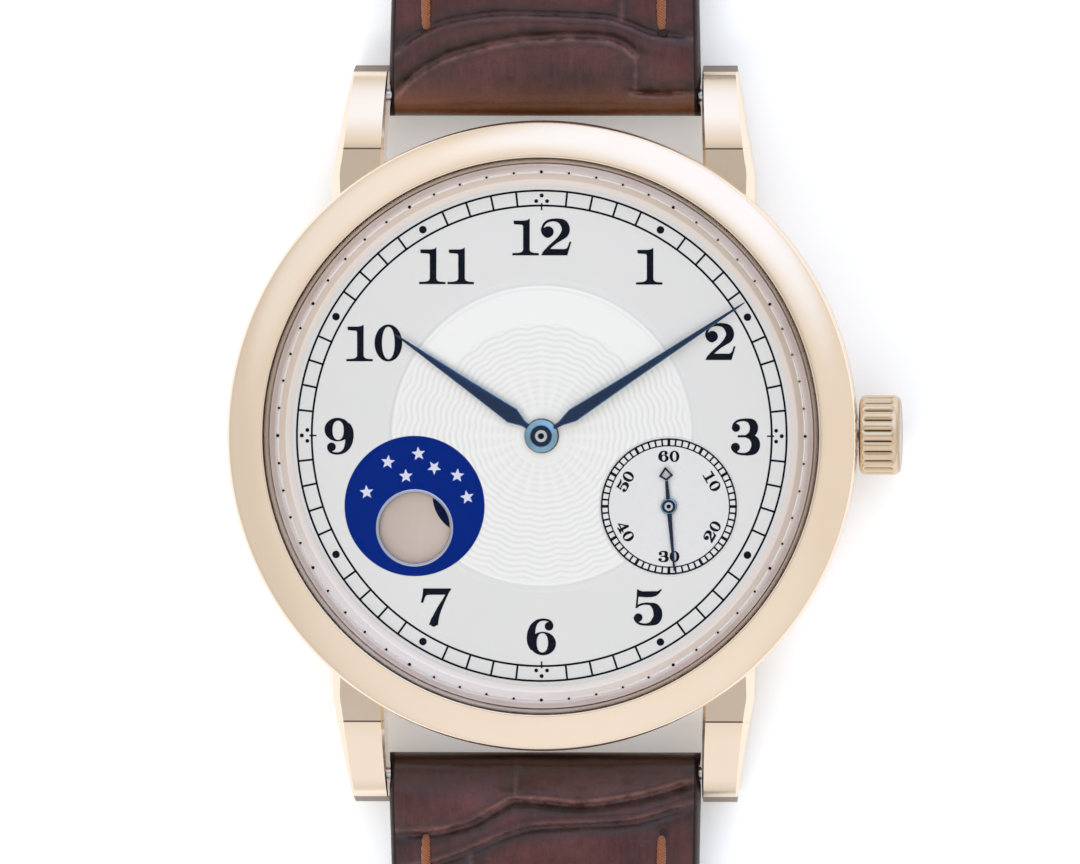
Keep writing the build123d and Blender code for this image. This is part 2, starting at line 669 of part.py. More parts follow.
jewel_spots = [
    (centre, 1.5, 0.4, 0.44, 0.18), (third_at, 1.5, 0.4, 0.44, 0.13), (fourth_at, 1.5, 0.4, 0.44, 0.13),
    (escape_at, 1.5, 0.4, 0.44, 0.13), (balance_at, 1.12, 0.3, 0.44, 0.11), (pallet_at, 2.55, 0.3, 0.41, 0.11),
    (third_at, 4.1, 0.35, 0.44, 0.13), (fourth_at, 4.1, 0.35, 0.44, 0.29), (escape_at, 4.1, 0.35, 0.44, 0.13),
    (pallet_at, 4.1, 0.35, 0.44, 0.13), (balance_at, 4.1, 0.35, 0.44, 0.11),
]
with BuildPart() as jewels:
    for spot, z0, tall, r_out, r_in in jewel_spots:
        with BuildSketch(at(spot, z0)):
            Circle(r_out)
            Circle(r_in, mode=Mode.SUBTRACT)
        extrude(amount=tall)
jewels.part.label = "jewels"
export_step(jewels.part, "parts/jewels.step")

with BuildPart() as casing_clamps:
    with BuildSketch(Plane.XY.offset(1.2)):
        for a in clamp_angles:
            with Locations(Location(polar(centre, 14.35, a) + (0,), (0, 0, a))):
                Rectangle(2.3, 1.9)
    extrude(amount=0.25)
    with BuildSketch(Plane.XY.offset(0.98)):
        with Locations(*[polar(centre, 14.0, a) for a in clamp_angles]):
            Circle(0.78)
    extrude(amount=0.25)
    with BuildSketch(Plane.XY.offset(1.4)):
        with Locations(*[polar(centre, 14.0, a) for a in clamp_angles]):
            Circle(0.28)
    extrude(amount=2.0)
    with BuildSketch(Plane.XY.offset(0.9)):
        for a in clamp_angles:
            with Locations(Location(polar(centre, 14.0, a) + (0,), (0, 0, a + 60))):
                Rectangle(1.8, 0.17)
    extrude(amount=0.18, mode=Mode.SUBTRACT)
casing_clamps.part.label = "casing_clamps"
export_step(casing_clamps.part, "parts/casing_clamps.step")

# ---------------------------------------------------------------- barrel, spring, arbor
with BuildPart() as barrel:
    with BuildSketch(at(barrel_at, 3.55)):
        Polygon(*gear_points(barrel_teeth, barrel_mod, barrel_phase), align=None)
        Circle(5.1, mode=Mode.SUBTRACT)
    extrude(amount=0.4)
    with BuildSketch(at(barrel_at, 2.82)):
        Circle(5.3)
        Circle(5.1, mode=Mode.SUBTRACT)
    extrude(amount=0.8)
    with BuildSketch(at(barrel_at, 3.8)):
        Circle(5.2)
        Circle(0.62, mode=Mode.SUBTRACT)
    extrude(amount=0.15)
    # snap-on cover
    with BuildSketch(at(barrel_at, 2.65)):
        Circle(5.3)
        Circle(0.86, mode=Mode.SUBTRACT)
    extrude(amount=0.17)
barrel.part.label = "barrel"
export_step(barrel.part, "parts/barrel.step")

with BuildPart() as mainspring:
    with BuildSketch(at(barrel_at, 2.9)):
        Polygon(*spiral_points(1.15, 4.95, 9.0, 30.0, 0.12, 18), align=None)
    extrude(amount=0.8)
mainspring.part.label = "mainspring"
export_step(mainspring.part, "parts/mainspring.step")

with BuildPart() as barrel_arbor:
    with BuildSketch(at(barrel_at, 2.88)):
        Circle(1.0)
    extrude(amount=0.85)
    with BuildSketch(at(barrel_at, 1.45)):
        Circle(0.79)
    extrude(amount=1.5)
    with BuildSketch(at(barrel_at, 3.6)):
        Circle(0.5)
    extrude(amount=1.25)
    with BuildSketch(at(barrel_at, 1.15)):
        Rectangle(1.08, 1.08)
    extrude(amount=0.4)
barrel_arbor.part.label = "barrel_arbor"
export_step(barrel_arbor.part, "parts/barrel_arbor.step")

with BuildPart() as ratchet_wheel:
    with BuildSketch(at(barrel_at, 1.15)):
        Polygon(*gear_points(ratchet_teeth, winding_mod, ratchet_phase), align=None)
        Rectangle(1.1, 1.1, mode=Mode.SUBTRACT)
    extrude(amount=0.25)
    # its screw
    with BuildSketch(at(barrel_at, 0.96)):
        Circle(1.15)
    extrude(amount=0.19)
    with BuildSketch(at(barrel_at, 0.9)):
        Rectangle(2.6, 0.2)
    extrude(amount=0.15, mode=Mode.SUBTRACT)
ratchet_wheel.part.label = "ratchet_wheel"
export_step(ratchet_wheel.part, "parts/ratchet_wheel.step")

with BuildPart() as crown_wheel:
    with BuildSketch(at(crown_wheel_at, 1.15)):
        Polygon(*gear_points(crown_wheel_teeth, winding_mod, crown_wheel_phase), align=None)
        Circle(0.86, mode=Mode.SUBTRACT)
    extrude(amount=0.25)
crown_wheel.part.label = "crown_wheel"
export_step(crown_wheel.part, "parts/crown_wheel.step")

# click: pivots beside the ratchet wheel, its nose just clear of the teeth
click_at = polar(barrel_at, 6.9, 172.0)
click_nose = polar(barrel_at, 5.36, 156.0)
with BuildPart() as click:
    with BuildSketch(Plane.XY.offset(1.17)):
        with Locations(click_at):
            Circle(0.75)
        with BuildLine():
            Polyline(polar(click_at, 0.75, 5), click_nose, polar(barrel_at, 5.9, 154.0), polar(click_at, 0.75, 120), click_at, close=True)
        make_face()
        with Locations(click_at):
            Circle(0.36, mode=Mode.SUBTRACT)
    extrude(amount=0.22)
click.part.label = "click"
export_step(click.part, "parts/click.step")

# click spring and the click's shouldered stud, both fast on the plate
spring_root = (-7.6, 10.2)
with BuildPart() as click_spring:
    with BuildSketch(Plane.XY.offset(1.2)):
        with Locations(spring_root):
            Circle(0.7)
        with BuildLine():
            Polyline((-7.0, 10.3), (-5.2, 9.3), (-4.35, 8.75), (-4.2, 8.95), (-5.1, 9.55), (-7.2, 10.75), close=True)
        make_face()
    extrude(amount=0.25)
    with BuildSketch(Plane.XY.offset(1.13)):
        with Locations(click_at):
            Circle(0.32)
    extrude(amount=0.32)
click_spring.part.label = "click_spring"
export_step(click_spring.part, "parts/click_spring.step")

# ---------------------------------------------------------------- going train
with BuildPart() as centre_wheel:
    with BuildSketch(at(centre, 2.35)):
        Polygon(*gear_points(centre_teeth, centre_mod, centre_phase), align=None)
        for k in range(5):
            with Locations(polar((0, 0), 2.45, 36 + 72 * k)):
                Circle(1.1, mode=Mode.SUBTRACT)
    extrude(amount=0.2)
    with BuildSketch(at(centre, 3.45)):
        Polygon(*gear_points(centre_pinion_teeth, barrel_mod, centre_pinion_phase), align=None)
    extrude(amount=0.55)
    with BuildSketch(at(centre, 2.3)):
        Circle(0.36)
    extrude(amount=4.06)
    with BuildSketch(at(centre, 1.55)):
        Circle(0.15)
    extrude(amount=0.8)
centre_wheel.part.label = "centre_wheel"
export_step(centre_wheel.part, "parts/centre_wheel.step")

with BuildPart() as third_wheel:
    with BuildSketch(at(third_at, 3.35)):
        Polygon(*gear_points(third_teeth, third_mod, third_phase), align=None)
        for k in range(5):
            with Locations(polar((0, 0), 2.1, 72 * k)):
                Circle(0.92, mode=Mode.SUBTRACT)
    extrude(amount=0.15)
    with BuildSketch(at(third_at, 2.32)):
        Polygon(*gear_points(third_pinion_teeth, centre_mod, third_pinion_phase), align=None)
    extrude(amount=0.34)
    with BuildSketch(at(third_at, 2.32)):
        Circle(0.28)
    extrude(amount=1.68)
    with BuildSketch(at(third_at, 1.55)):
        Circle(0.1)
    extrude(amount=2.85)
third_wheel.part.label = "third_wheel"
export_step(third_wheel.part, "parts/third_wheel.step")

with BuildPart() as fourth_wheel:
    with BuildSketch(at(fourth_at, 2.75)):
        Polygon(*gear_points(fourth_teeth, fourth_mod, fourth_phase), align=None)
        for k in range(5):
            with Locations(polar((0, 0), 1.9, 72 * k)):
                Circle(0.82, mode=Mode.SUBTRACT)
    extrude(amount=0.15)
    with BuildSketch(at(fourth_at, 3.25)):
        Polygon(*gear_points(fourth_pinion_teeth, third_mod, fourth_pinion_phase), align=None)
    extrude(amount=0.4)
    with BuildSketch(at(fourth_at, 2.35)):
        Circle(0.25)
    extrude(amount=3.67)
    with BuildSketch(at(fourth_at, 1.55)):
        Circle(0.1)
    extrude(amount=1.0)
fourth_wheel.part.label = "fourth_wheel"
export_step(fourth_wheel.part, "parts/fourth_wheel.step")

escape_points = []
for k in range(15):
    a = 24.0 * k + 6.0
    escape_points += [polar((0, 0), 1.62, a), polar((0, 0), 1.62, a + 15), polar((0, 0), escape_tip_r - 0.05, a + 19.5),
                      polar((0, 0), escape_tip_r, a + 23.5)]
with BuildPart() as escape_wheel:
    with BuildSketch(at(escape_at, 3.05)):
        Polygon(*escape_points, align=None)
        for k in range(4):
            with Locations(polar((0, 0), 0.98, 90 * k)):
                Circle(0.48, mode=Mode.SUBTRACT)
    extrude(amount=0.15)
    with BuildSketch(at(escape_at, 2.68)):
        Polygon(*gear_points(escape_pinion_teeth, fourth_mod, escape_pinion_phase), align=None)
    extrude(amount=0.3)
    with BuildSketch(at(escape_at, 2.4)):
        Circle(0.17)
    extrude(amount=1.6)
    with BuildSketch(at(escape_at, 1.55)):
        Circle(0.1)
    extrude(amount=2.85)
escape_wheel.part.label = "escape_wheel"
export_step(escape_wheel.part, "parts/escape_wheel.step")

# pallet fork: local +X points to the escape wheel, -X to the balance
fork_plane = Plane(origin=(pallet_at[0], pallet_at[1], 3.03), x_dir=polar((0, 0), 1.0, bearing(pallet_at, escape_at)) + (0,), z_dir=(0, 0, 1))
fork_len = distance(pallet_at, balance_at) - 0.93
with BuildPart() as pallet_fork:
    with BuildSketch(fork_plane):
        with BuildLine():
            Polyline(
                (0.16, 0.2), (0.02, 0.95), (0.44, 1.0), (0.44, 1.3), (-0.16, 1.26), (-0.2, 0.3),
                (-fork_len + 0.5, 0.09), (-fork_len + 0.3, 0.3), (-fork_len, 0.32), (-fork_len + 0.05, 0.14),
                (-fork_len + 0.33, 0.12), (-fork_len + 0.33, -0.12), (-fork_len + 0.05, -0.14), (-fork_len, -0.32),
                (-fork_len + 0.3, -0.3), (-fork_len + 0.5, -0.09), (-0.2, -0.3), (-0.16, -1.26),
                (0.44, -1.3), (0.44, -1.0), (0.02, -0.95), (0.16, -0.2), close=True)
        make_face()
    extrude(amount=0.16)
    with BuildSketch(at(pallet_at, 2.95)):
        Circle(0.2)
    extrude(amount=0.9)
    with BuildSketch(at(pallet_at, 2.6)):
        Circle(0.085)
    extrude(amount=1.8)
pallet_fork.part.label = "pallet_fork"
export_step(pallet_fork.part, "parts/pallet_fork.step")

# ---------------------------------------------------------------- balance
with BuildPart() as balance_wheel:
    with BuildSketch(at(balance_at, 2.0)):
        Circle(4.6)
        Circle(4.1, mode=Mode.SUBTRACT)
    extrude(amount=0.4)
    with BuildSketch(at(balance_at, 2.05)):
        with PolarLocations(0, 3, start_angle=20):
            Rectangle(4.3, 0.42, align=(Align.MIN, Align.CENTER))
        Circle(0.7)
        Circle(0.225, mode=Mode.SUBTRACT)
    extrude(amount=0.25)
balance_wheel.part.label = "balance_wheel"
export_step(balance_wheel.part, "parts/balance_wheel.step")

with BuildPart() as balance_staff:
    with BuildSketch(at(balance_at, 1.65)):
        Circle(0.22)
    extrude(amount=2.2)
    with BuildSketch(at(balance_at, 1.72)):
        Circle(0.48)
    extrude(amount=0.2)
    with BuildSketch(at(balance_at, 2.72)):
        Circle(0.88)
    extrude(amount=0.16)
    with BuildSketch(at(polar(balance_at, 0.75, bearing(balance_at, pallet_at)), 2.85)):
        Circle(0.08)
    extrude(amount=0.38)
    with BuildSketch(at(balance_at, 1.2)):
        Circle(0.08)
    extrude(amount=3.2)
balance_staff.part.label = "balance_staff"
export_step(balance_staff.part, "parts/balance_staff.step")

with BuildPart() as hairspring:
    with BuildSketch(at(balance_at, 1.74)):
        Polygon(*spiral_points(0.58, 2.9, 9.0, cock_turn, 0.055, 20), align=None)
    extrude(amount=0.16)
hairspring.part.label = "hairspring"
export_step(hairspring.part, "parts/hairspring.step")

# ---------------------------------------------------------------- motion works and moon display
with BuildPart() as cannon_pinion:
    with BuildSketch(at(centre, 4.55)):
        Polygon(*gear_points(cannon_teeth, motion_mod_a, cannon_phase), align=None)
    extrude(amount=0.3)
    with BuildSketch(at(centre, 4.8)):
        Circle(0.6)
    extrude(amount=1.42)
    with BuildSketch(at(centre, 6.2)):
        Circle(0.44)
    extrude(amount=0.24)
    with BuildSketch(at(centre, 4.5)):
        Circle(0.38)
    extrude(amount=1.87, mode=Mode.SUBTRACT)
cannon_pinion.part.label = "cannon_pinion"
export_step(cannon_pinion.part, "parts/cannon_pinion.step")

with BuildPart() as minute_wheel:
    with BuildSketch(at(minute_at, 4.58)):
        Polygon(*gear_points(minute_teeth, motion_mod_a, minute_phase), align=None)
        Circle(0.25, mode=Mode.SUBTRACT)
    extrude(amount=0.16)
    with BuildSketch(at(minute_at, 4.7)):
        Polygon(*gear_points(minute_pinion_teeth, motion_mod_b, minute_pinion_phase), align=None)
        Circle(0.25, mode=Mode.SUBTRACT)
    extrude(amount=0.5)
minute_wheel.part.label = "minute_wheel"
export_step(minute_wheel.part, "parts/minute_wheel.step")

with BuildPart() as hour_wheel:
    with BuildSketch(at(centre, 5.0)):
        Polygon(*gear_points(hour_teeth, motion_mod_b, hour_phase), align=None)
        Circle(0.66, mode=Mode.SUBTRACT)
    extrude(amount=0.15)
    with BuildSketch(at(centre, 5.1)):
        Circle(0.9)
        Circle(0.66, mode=Mode.SUBTRACT)
    extrude(amount=1.0)
hour_wheel.part.label = "hour_wheel"
export_step(hour_wheel.part, "parts/hour_wheel.step")

# 24-hour wheel with the finger that steps the moon disc; the finger points away from it at rest
finger_r = distance(day_at, moon_at) - 5.42 + 0.18
finger_turn = bearing(moon_at, day_at)
with BuildPart() as moon_day_wheel:
    with BuildSketch(at(day_at, 5.0)):
        Polygon(*gear_points(day_teeth, motion_mod_b, day_phase), align=None)
        for k in range(4):
            with Locations(polar((0, 0), 2.3, 45 + 90 * k)):
                Circle(0.9, mode=Mode.SUBTRACT)
        Circle(0.36, mode=Mode.SUBTRACT)
    extrude(amount=0.14)
    with BuildSketch(at(day_at, 5.12)):
        Circle(0.75)
        with BuildLine():
            Polyline(polar((0, 0), 0.7, finger_turn + 25), polar((0, 0), finger_r, finger_turn + 3),
                     polar((0, 0), finger_r, finger_turn - 1), polar((0, 0), 0.7, finger_turn - 25), close=True)
        make_face()
        Circle(0.36, mode=Mode.SUBTRACT)
    extrude(amount=0.24)
moon_day_wheel.part.label = "moon_day_wheel"
export_step(moon_day_wheel.part, "parts/moon_day_wheel.step")

with BuildPart() as moon_disc:
    with BuildSketch(at(moon_at, 5.28)):
        Polygon(*saw_points(moon_teeth, 5.2, 5.42, 0.0, 0.1), align=None)
        Circle(0.36, mode=Mode.SUBTRACT)
    extrude(amount=0.12)
    with BuildSketch(at(moon_at, 5.0)):
        Circle(0.8)
        Circle(0.36, mode=Mode.SUBTRACT)
    extrude(amount=0.3)
moon_disc.part.label = "moon_disc"
export_step(moon_disc.part, "parts/moon_disc.step")

# jumper that holds the moon disc between two teeth
jump_turn = 152.5
with BuildPart() as moon_jumper:
    with BuildSketch(Plane.XY.offset(5.28)):
        with BuildLine():
            Polyline(polar(moon_at, 5.47, jump_turn), polar(moon_at, 5.95, jump_turn - 2.2), polar(moon_at, 6.05, 128.0),
                     polar(moon_at, 6.35, 128.0), polar(moon_at, 6.25, jump_turn + 2.0), close=True)
        make_face()
        with Locations(polar(moon_at, 6.5, 124.0)):
            Circle(0.6)
    extrude(amount=0.12)
    with BuildSketch(Plane.XY.offset(4.95)):
        with Locations(polar(moon_at, 6.5, 124.0)):
            Circle(0.6)
    extrude(amount=0.35)
moon_jumper.part.label = "moon_jumper"
export_step(moon_jumper.part, "parts/moon_jumper.step")

# ---------------------------------------------------------------- winding works
with BuildPart() as winding_stem:
    with BuildSketch(Plane.YZ.offset(10.6)):
        with Locations((0, axis_z)):
            Circle(0.6)
    extrude(amount=9.38)
    with BuildSketch(Plane.YZ.offset(8.68)):
        with Locations((0, axis_z)):
            Rectangle(0.8, 0.8)
    extrude(amount=1.97)
    with BuildSketch(Plane.YZ.offset(7.35)):
        with Locations((0, axis_z)):
            Circle(0.28)
    extrude(amount=1.6)
winding_stem.part.label = "winding_stem"
export_step(winding_stem.part, "parts/winding_stem.step")

with BuildPart() as winding_pinion:
    with BuildSketch(Plane.YZ.offset(10.72)):
        with Locations((0, axis_z)):
            Polygon(*gear_points(winding_pinion_teeth, 0.2, 0.0, addendum=0.45), align=None)
            Circle(0.65, mode=Mode.SUBTRACT)
    extrude(amount=1.0)
winding_pinion.part.label = "winding_pinion"
export_step(winding_pinion.part, "parts/winding_pinion.step")

with BuildPart() as sliding_pinion:
    with BuildSketch(Plane.YZ.offset(9.55)):
        with Locations((0, axis_z)):
            Circle(0.95)
            Rectangle(0.84, 0.84, mode=Mode.SUBTRACT)
    extrude(amount=0.85)
    with BuildSketch(Plane.YZ.offset(9.9)):
        with Locations((0, axis_z)):
            Circle(1.2)
            Circle(0.78, mode=Mode.SUBTRACT)
    extrude(amount=0.25, mode=Mode.SUBTRACT)
sliding_pinion.part.label = "sliding_pinion"
export_step(sliding_pinion.part, "parts/sliding_pinion.step")

# ---------------------------------------------------------------- hands
with BuildPart() as hour_hand:
    with BuildSketch(Plane(origin=(0, 0, 6.1), x_dir=polar((0, 0), 1.0, 90 - hour_clock) + (0,), z_dir=(0, 0, 1))):
        Polygon(*hand_points([(0.8, 0.18), (1.25, 0.18), (2.03, 0.49), (10.16, 0.0)]), align=None)
        Polygon(*hand_points([(-1.6, 0.0), (-0.8, 0.14), (0.0, 0.18), (1.0, 0.18)]), align=None)
        Circle(0.98)
        Circle(0.64, mode=Mode.SUBTRACT)
    extrude(amount=0.12)
hour_hand.part.label = "hour_hand"
export_step(hour_hand.part, "parts/hour_hand.step")

with BuildPart() as minute_hand:
    with BuildSketch(Plane(origin=(0, 0, 6.27), x_dir=polar((0, 0), 1.0, 90 - minute_clock) + (0,), z_dir=(0, 0, 1))):
        Polygon(*hand_points([(0.8, 0.13), (1.3, 0.13), (2.17, 0.41), (13.86, 0.0)]), align=None)
        Polygon(*hand_points([(-1.7, 0.0), (-0.8, 0.12), (0.0, 0.14), (1.0, 0.13)]), align=None)
        Circle(1.0)
        Circle(0.45, mode=Mode.SUBTRACT)
    extrude(amount=0.12)
minute_hand.part.label = "minute_hand"
export_step(minute_hand.part, "parts/minute_hand.step")

with BuildPart() as seconds_hand:
    with BuildSketch(Plane(origin=(fourth_at[0], fourth_at[1], 5.92), x_dir=polar((0, 0), 1.0, 90 - second_clock) + (0,), z_dir=(0, 0, 1))):
        Polygon(*hand_points([(0.3, 0.13), (3.55, 0.055), (3.69, 0.0)]), align=None)
        Polygon(*hand_points([(-2.21, 0.0), (-1.83, 0.4), (-1.45, 0.09), (-0.3, 0.09)]), align=None)
        Polygon(*hand_points([(-2.02, 0.0), (-1.83, 0.19), (-1.62, 0.0)]), align=None, mode=Mode.SUBTRACT)
        Circle(0.44)
        Circle(0.26, mode=Mode.SUBTRACT)
    extrude(amount=0.08)
seconds_hand.part.label = "seconds_hand"
export_step(seconds_hand.part, "parts/seconds_hand.step")

# ---------------------------------------------------------------- strap
bar_hole_r = 0.83
with BuildPart() as strap_upper:
    with BuildSketch(Plane.YZ):
        with BuildLine():
            ThreePointArc((lug_bar_y, strap_base_z), (lug_bar_y - 1.2, lug_bar_z), (lug_bar_y, lug_bar_z + 1.2))
            Spline((lug_bar_y, lug_bar_z + 1.2), (21.6, 3.95), (25.5, 4.3), (40.0, 3.9), tangents=((1, 0), (1, -0.03)))
            Polyline((40.0, 3.9), (60.0, 3.4), (upper_len_y, 3.3))
            ThreePointArc((upper_len_y, 3.3), (upper_len_y + 1.2, 2.1), (upper_len_y, strap_base_z))
            Line((upper_len_y, strap_base_z), (lug_bar_y, strap_base_z))
        make_face()
    extrude(amount=9.5, both=True)
    with BuildSketch(Plane.XY):
        with BuildLine():
            Polyline((strap_half_w, 18.0), (strap_half_w, 22.5), (strap_end_half_w, 62.0), (strap_end_half_w, 96.0),
                     (-strap_end_half_w, 96.0), (-strap_end_half_w, 62.0), (-strap_half_w, 22.5), (-strap_half_w, 18.0), close=True)
        make_face()
    extrude(amount=8.0, mode=Mode.INTERSECT)
    with BuildSketch(Plane.YZ):
        with Locations((lug_bar_y, lug_bar_z)):
            Circle(bar_hole_r)
        with Locations((upper_len_y, 2.1)):
            Circle(0.68)
    extrude(amount=12, both=True, mode=Mode.SUBTRACT)
    # slot for the tang
    with BuildSketch(Plane.XY):
        with Locations((0, upper_len_y + 0.6)):
            Rectangle(2.4, 4.2)
    extrude(amount=8.0, mode=Mode.SUBTRACT)
strap_upper.part.label = "strap_upper"
export_step(strap_upper.part, "parts/strap_upper.step")

with BuildPart() as strap_lower:
    with BuildSketch(Plane.YZ):
        with BuildLine():
            ThreePointArc((-lug_bar_y, strap_base_z), (-lug_bar_y + 1.2, lug_bar_z), (-lug_bar_y, lug_bar_z + 1.2))
            Spline((-lug_bar_y, lug_bar_z + 1.2), (-21.6, 3.95), (-25.5, 4.28), (-40.0, 3.3), tangents=((-1, 0), (-1, -0.05)))
            Polyline((-40.0, 3.3), (-60.0, 2.45), (-lower_len_y, 2.2), (-lower_len_y, 0.0), (-48.0, 0.0))
            Spline((-48.0, 0.0), (-32.0, 0.45), (-lug_bar_y, strap_base_z), tangents=((1, 0), (1, 0)))
        make_face()
    extrude(amount=9.5, both=True)
    with BuildSketch(Plane.XY):
        with BuildLine():
            Polyline((-strap_end_half_w, -126.0), (-strap_end_half_w, -62.0), (-strap_half_w, -22.5), (-strap_half_w, -18.0),
                     (strap_half_w, -18.0), (strap_half_w, -22.5), (strap_end_half_w, -62.0), (strap_end_half_w, -126.0))
            ThreePointArc((strap_end_half_w, -126.0), (5.6, -131.4), (0, -lower_len_y + 0.05))
            ThreePointArc((0, -lower_len_y + 0.05), (-5.6, -131.4), (-strap_end_half_w, -126.0))
        make_face()
    extrude(amount=8.0, mode=Mode.INTERSECT)
    with BuildSketch(Plane.YZ):
        with Locations((-lug_bar_y, lug_bar_z)):
            Circle(bar_hole_r)
    extrude(amount=12, both=True, mode=Mode.SUBTRACT)
    with BuildSketch(Plane.XY):
        with Locations(*[(0, -78.0 - 6.5 * i) for i in range(7)]):
            Circle(0.95)
    extrude(amount=8.0, mode=Mode.SUBTRACT)
strap_lower.part.label = "strap_lower"
export_step(strap_lower.part, "parts/strap_lower.step")

with BuildPart() as spring_bars:
    for s in (1, -1):
        with BuildSketch(Plane.YZ.offset(-8.8)):
            with Locations((s * lug_bar_y, lug_bar_z)):
                Circle(0.75)
        extrude(amount=17.6)
        with BuildSketch(Plane.YZ.offset(-9.75)):
            with Locations((s * lug_bar_y, lug_bar_z)):
                Circle(0.37)
        extrude(amount=19.5)
spring_bars.part.label = "spring_bars"
export_step(spring_bars.part, "parts/spring_bars.step")

# ---------------------------------------------------------------- buckle
buckle_in = 8.3
with BuildPart() as buckle_frame:
    with BuildSketch(Plane.XY.offset(-0.5)):
        with BuildLine():
            Polyline((-buckle_in, upper_len_y - 1.2), (-buckle_in, 100.2), (buckle_in, 100.2), (buckle_in, upper_len_y - 1.2),
                     (10.0, upper_len_y - 1.2), (10.15, 99.6))
            ThreePointArc((10.15, 99.6), (9.4, 101.7), (7.4, 102.4))
            ThreePointArc((7.4, 102.4), (0, 102.75), (-7.4, 102.4))
            ThreePointArc((-7.4, 102.4), (-9.4, 101.7), (-10.15, 99.6))
            Polyline((-10.15, 99.6), (-10.0, upper_len_y - 1.2), (-buckle_in, upper_len_y - 1.2))
        make_face()
    extrude(amount=5.0)
    # arched side view: the far bar lies on the ground
    with BuildSketch(Plane.YZ):
        with BuildLine():
            ThreePointArc((upper_len_y, 1.0), (upper_len_y - 1.1, 2.1), (upper_len_y, 3.2))
            ThreePointArc((upper_len_y, 3.2), (98.4, 2.85), (103.0, 1.72))
            Line((103.0, 1.72), (103.0, 0.0))
            Line((103.0, 0.0), (101.0, 0.0))
            ThreePointArc((101.0, 0.0), (97.4, 0.75), (upper_len_y, 1.0))
        make_face()
    extrude(amount=12.0, both=True, mode=Mode.INTERSECT)
    # rest of the tang on the far bar
    with BuildSketch(Plane.YZ.offset(-0.85)):
        with BuildLine():
            Polyline((99.8, 2.05), (103.2, 1.22), (103.2, 4.0), (99.8, 4.0), close=True)
        make_face()
    extrude(amount=1.7, mode=Mode.SUBTRACT)
    # holes for the buckle bar
    with BuildSketch(Plane.YZ):
        with Locations((upper_len_y, 2.1)):
            Circle(0.42)
    extrude(amount=9.4, both=True, mode=Mode.SUBTRACT)
buckle_frame.part.label = "buckle_frame"
export_step(buckle_frame.part, "parts/buckle_frame.step")

with BuildPart() as buckle_bar:
    with BuildSketch(Plane.YZ.offset(-8.15)):
        with Locations((upper_len_y, 2.1)):
            Circle(0.6)
    extrude(amount=16.3)
    with BuildSketch(Plane.YZ.offset(-9.3)):
        with Locations((upper_len_y, 2.1)):
            Circle(0.36)
    extrude(amount=18.6)
buckle_bar.part.label = "buckle_bar"
export_step(buckle_bar.part, "parts/buckle_bar.step")

with BuildPart() as buckle_tang:
    with BuildSketch(Plane.YZ.offset(-0.65)):
        with Locations((upper_len_y, 2.1)):
            Circle(1.12)
        with BuildLine():
            Polyline((upper_len_y + 0.2, 1.1), (upper_len_y + 2.0, 1.9), (99.6, 2.16), (102.4, 1.47), (102.5, 1.85), (102.1, 2.3),
                     (99.9, 3.0), (upper_len_y + 1.8, 3.2), (upper_len_y, 3.2), close=True)
        make_face()
        with Locations((upper_len_y, 2.1)):
            Circle(0.68, mode=Mode.SUBTRACT)
    extrude(amount=1.3)
buckle_tang.part.label = "buckle_tang"
export_step(buckle_tang.part, "parts/buckle_tang.step")

# ---------------------------------------------------------------- keepers
with BuildPart() as fixed_keeper:
    with BuildSketch(Plane.XZ.offset(-84.0)):
        with Locations((0, 3.1)):
            RectangleRounded(19.0, 6.2, 1.2)
            RectangleRounded(16.9, 4.5, 0.5, mode=Mode.SUBTRACT)
    extrude(amount=-4.5)
fixed_keeper.part.label = "fixed_keeper"
export_step(fixed_keeper.part, "parts/fixed_keeper.step")

with BuildPart() as free_keeper:
    with BuildSketch(Plane.XZ.offset(-70.0)):
        with Locations((0, 3.1)):
            RectangleRounded(19.0, 6.2, 1.2)
            RectangleRounded(16.9, 4.5, 0.5, mode=Mode.SUBTRACT)
    extrude(amount=-4.5)
free_keeper.part.label = "free_keeper"
export_step(free_keeper.part, "parts/free_keeper.step")
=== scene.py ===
import math
import bpy
import bmesh
import numpy as np
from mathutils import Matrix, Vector
from mathutils.geometry import tessellate_polygon


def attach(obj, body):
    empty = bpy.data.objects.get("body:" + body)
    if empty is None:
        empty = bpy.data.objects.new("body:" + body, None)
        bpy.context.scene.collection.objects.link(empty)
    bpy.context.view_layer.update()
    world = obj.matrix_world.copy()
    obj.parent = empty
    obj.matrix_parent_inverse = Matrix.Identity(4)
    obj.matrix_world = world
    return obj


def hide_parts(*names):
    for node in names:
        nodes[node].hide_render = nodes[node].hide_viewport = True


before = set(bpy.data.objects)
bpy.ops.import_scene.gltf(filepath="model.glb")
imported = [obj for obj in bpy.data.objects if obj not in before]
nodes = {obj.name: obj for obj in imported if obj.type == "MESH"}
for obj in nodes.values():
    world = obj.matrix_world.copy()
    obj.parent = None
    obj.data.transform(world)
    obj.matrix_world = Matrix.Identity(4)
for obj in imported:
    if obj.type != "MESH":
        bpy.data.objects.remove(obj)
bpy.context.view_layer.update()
MM = 0.001
rng = np.random.default_rng(7)
scene = bpy.context.scene


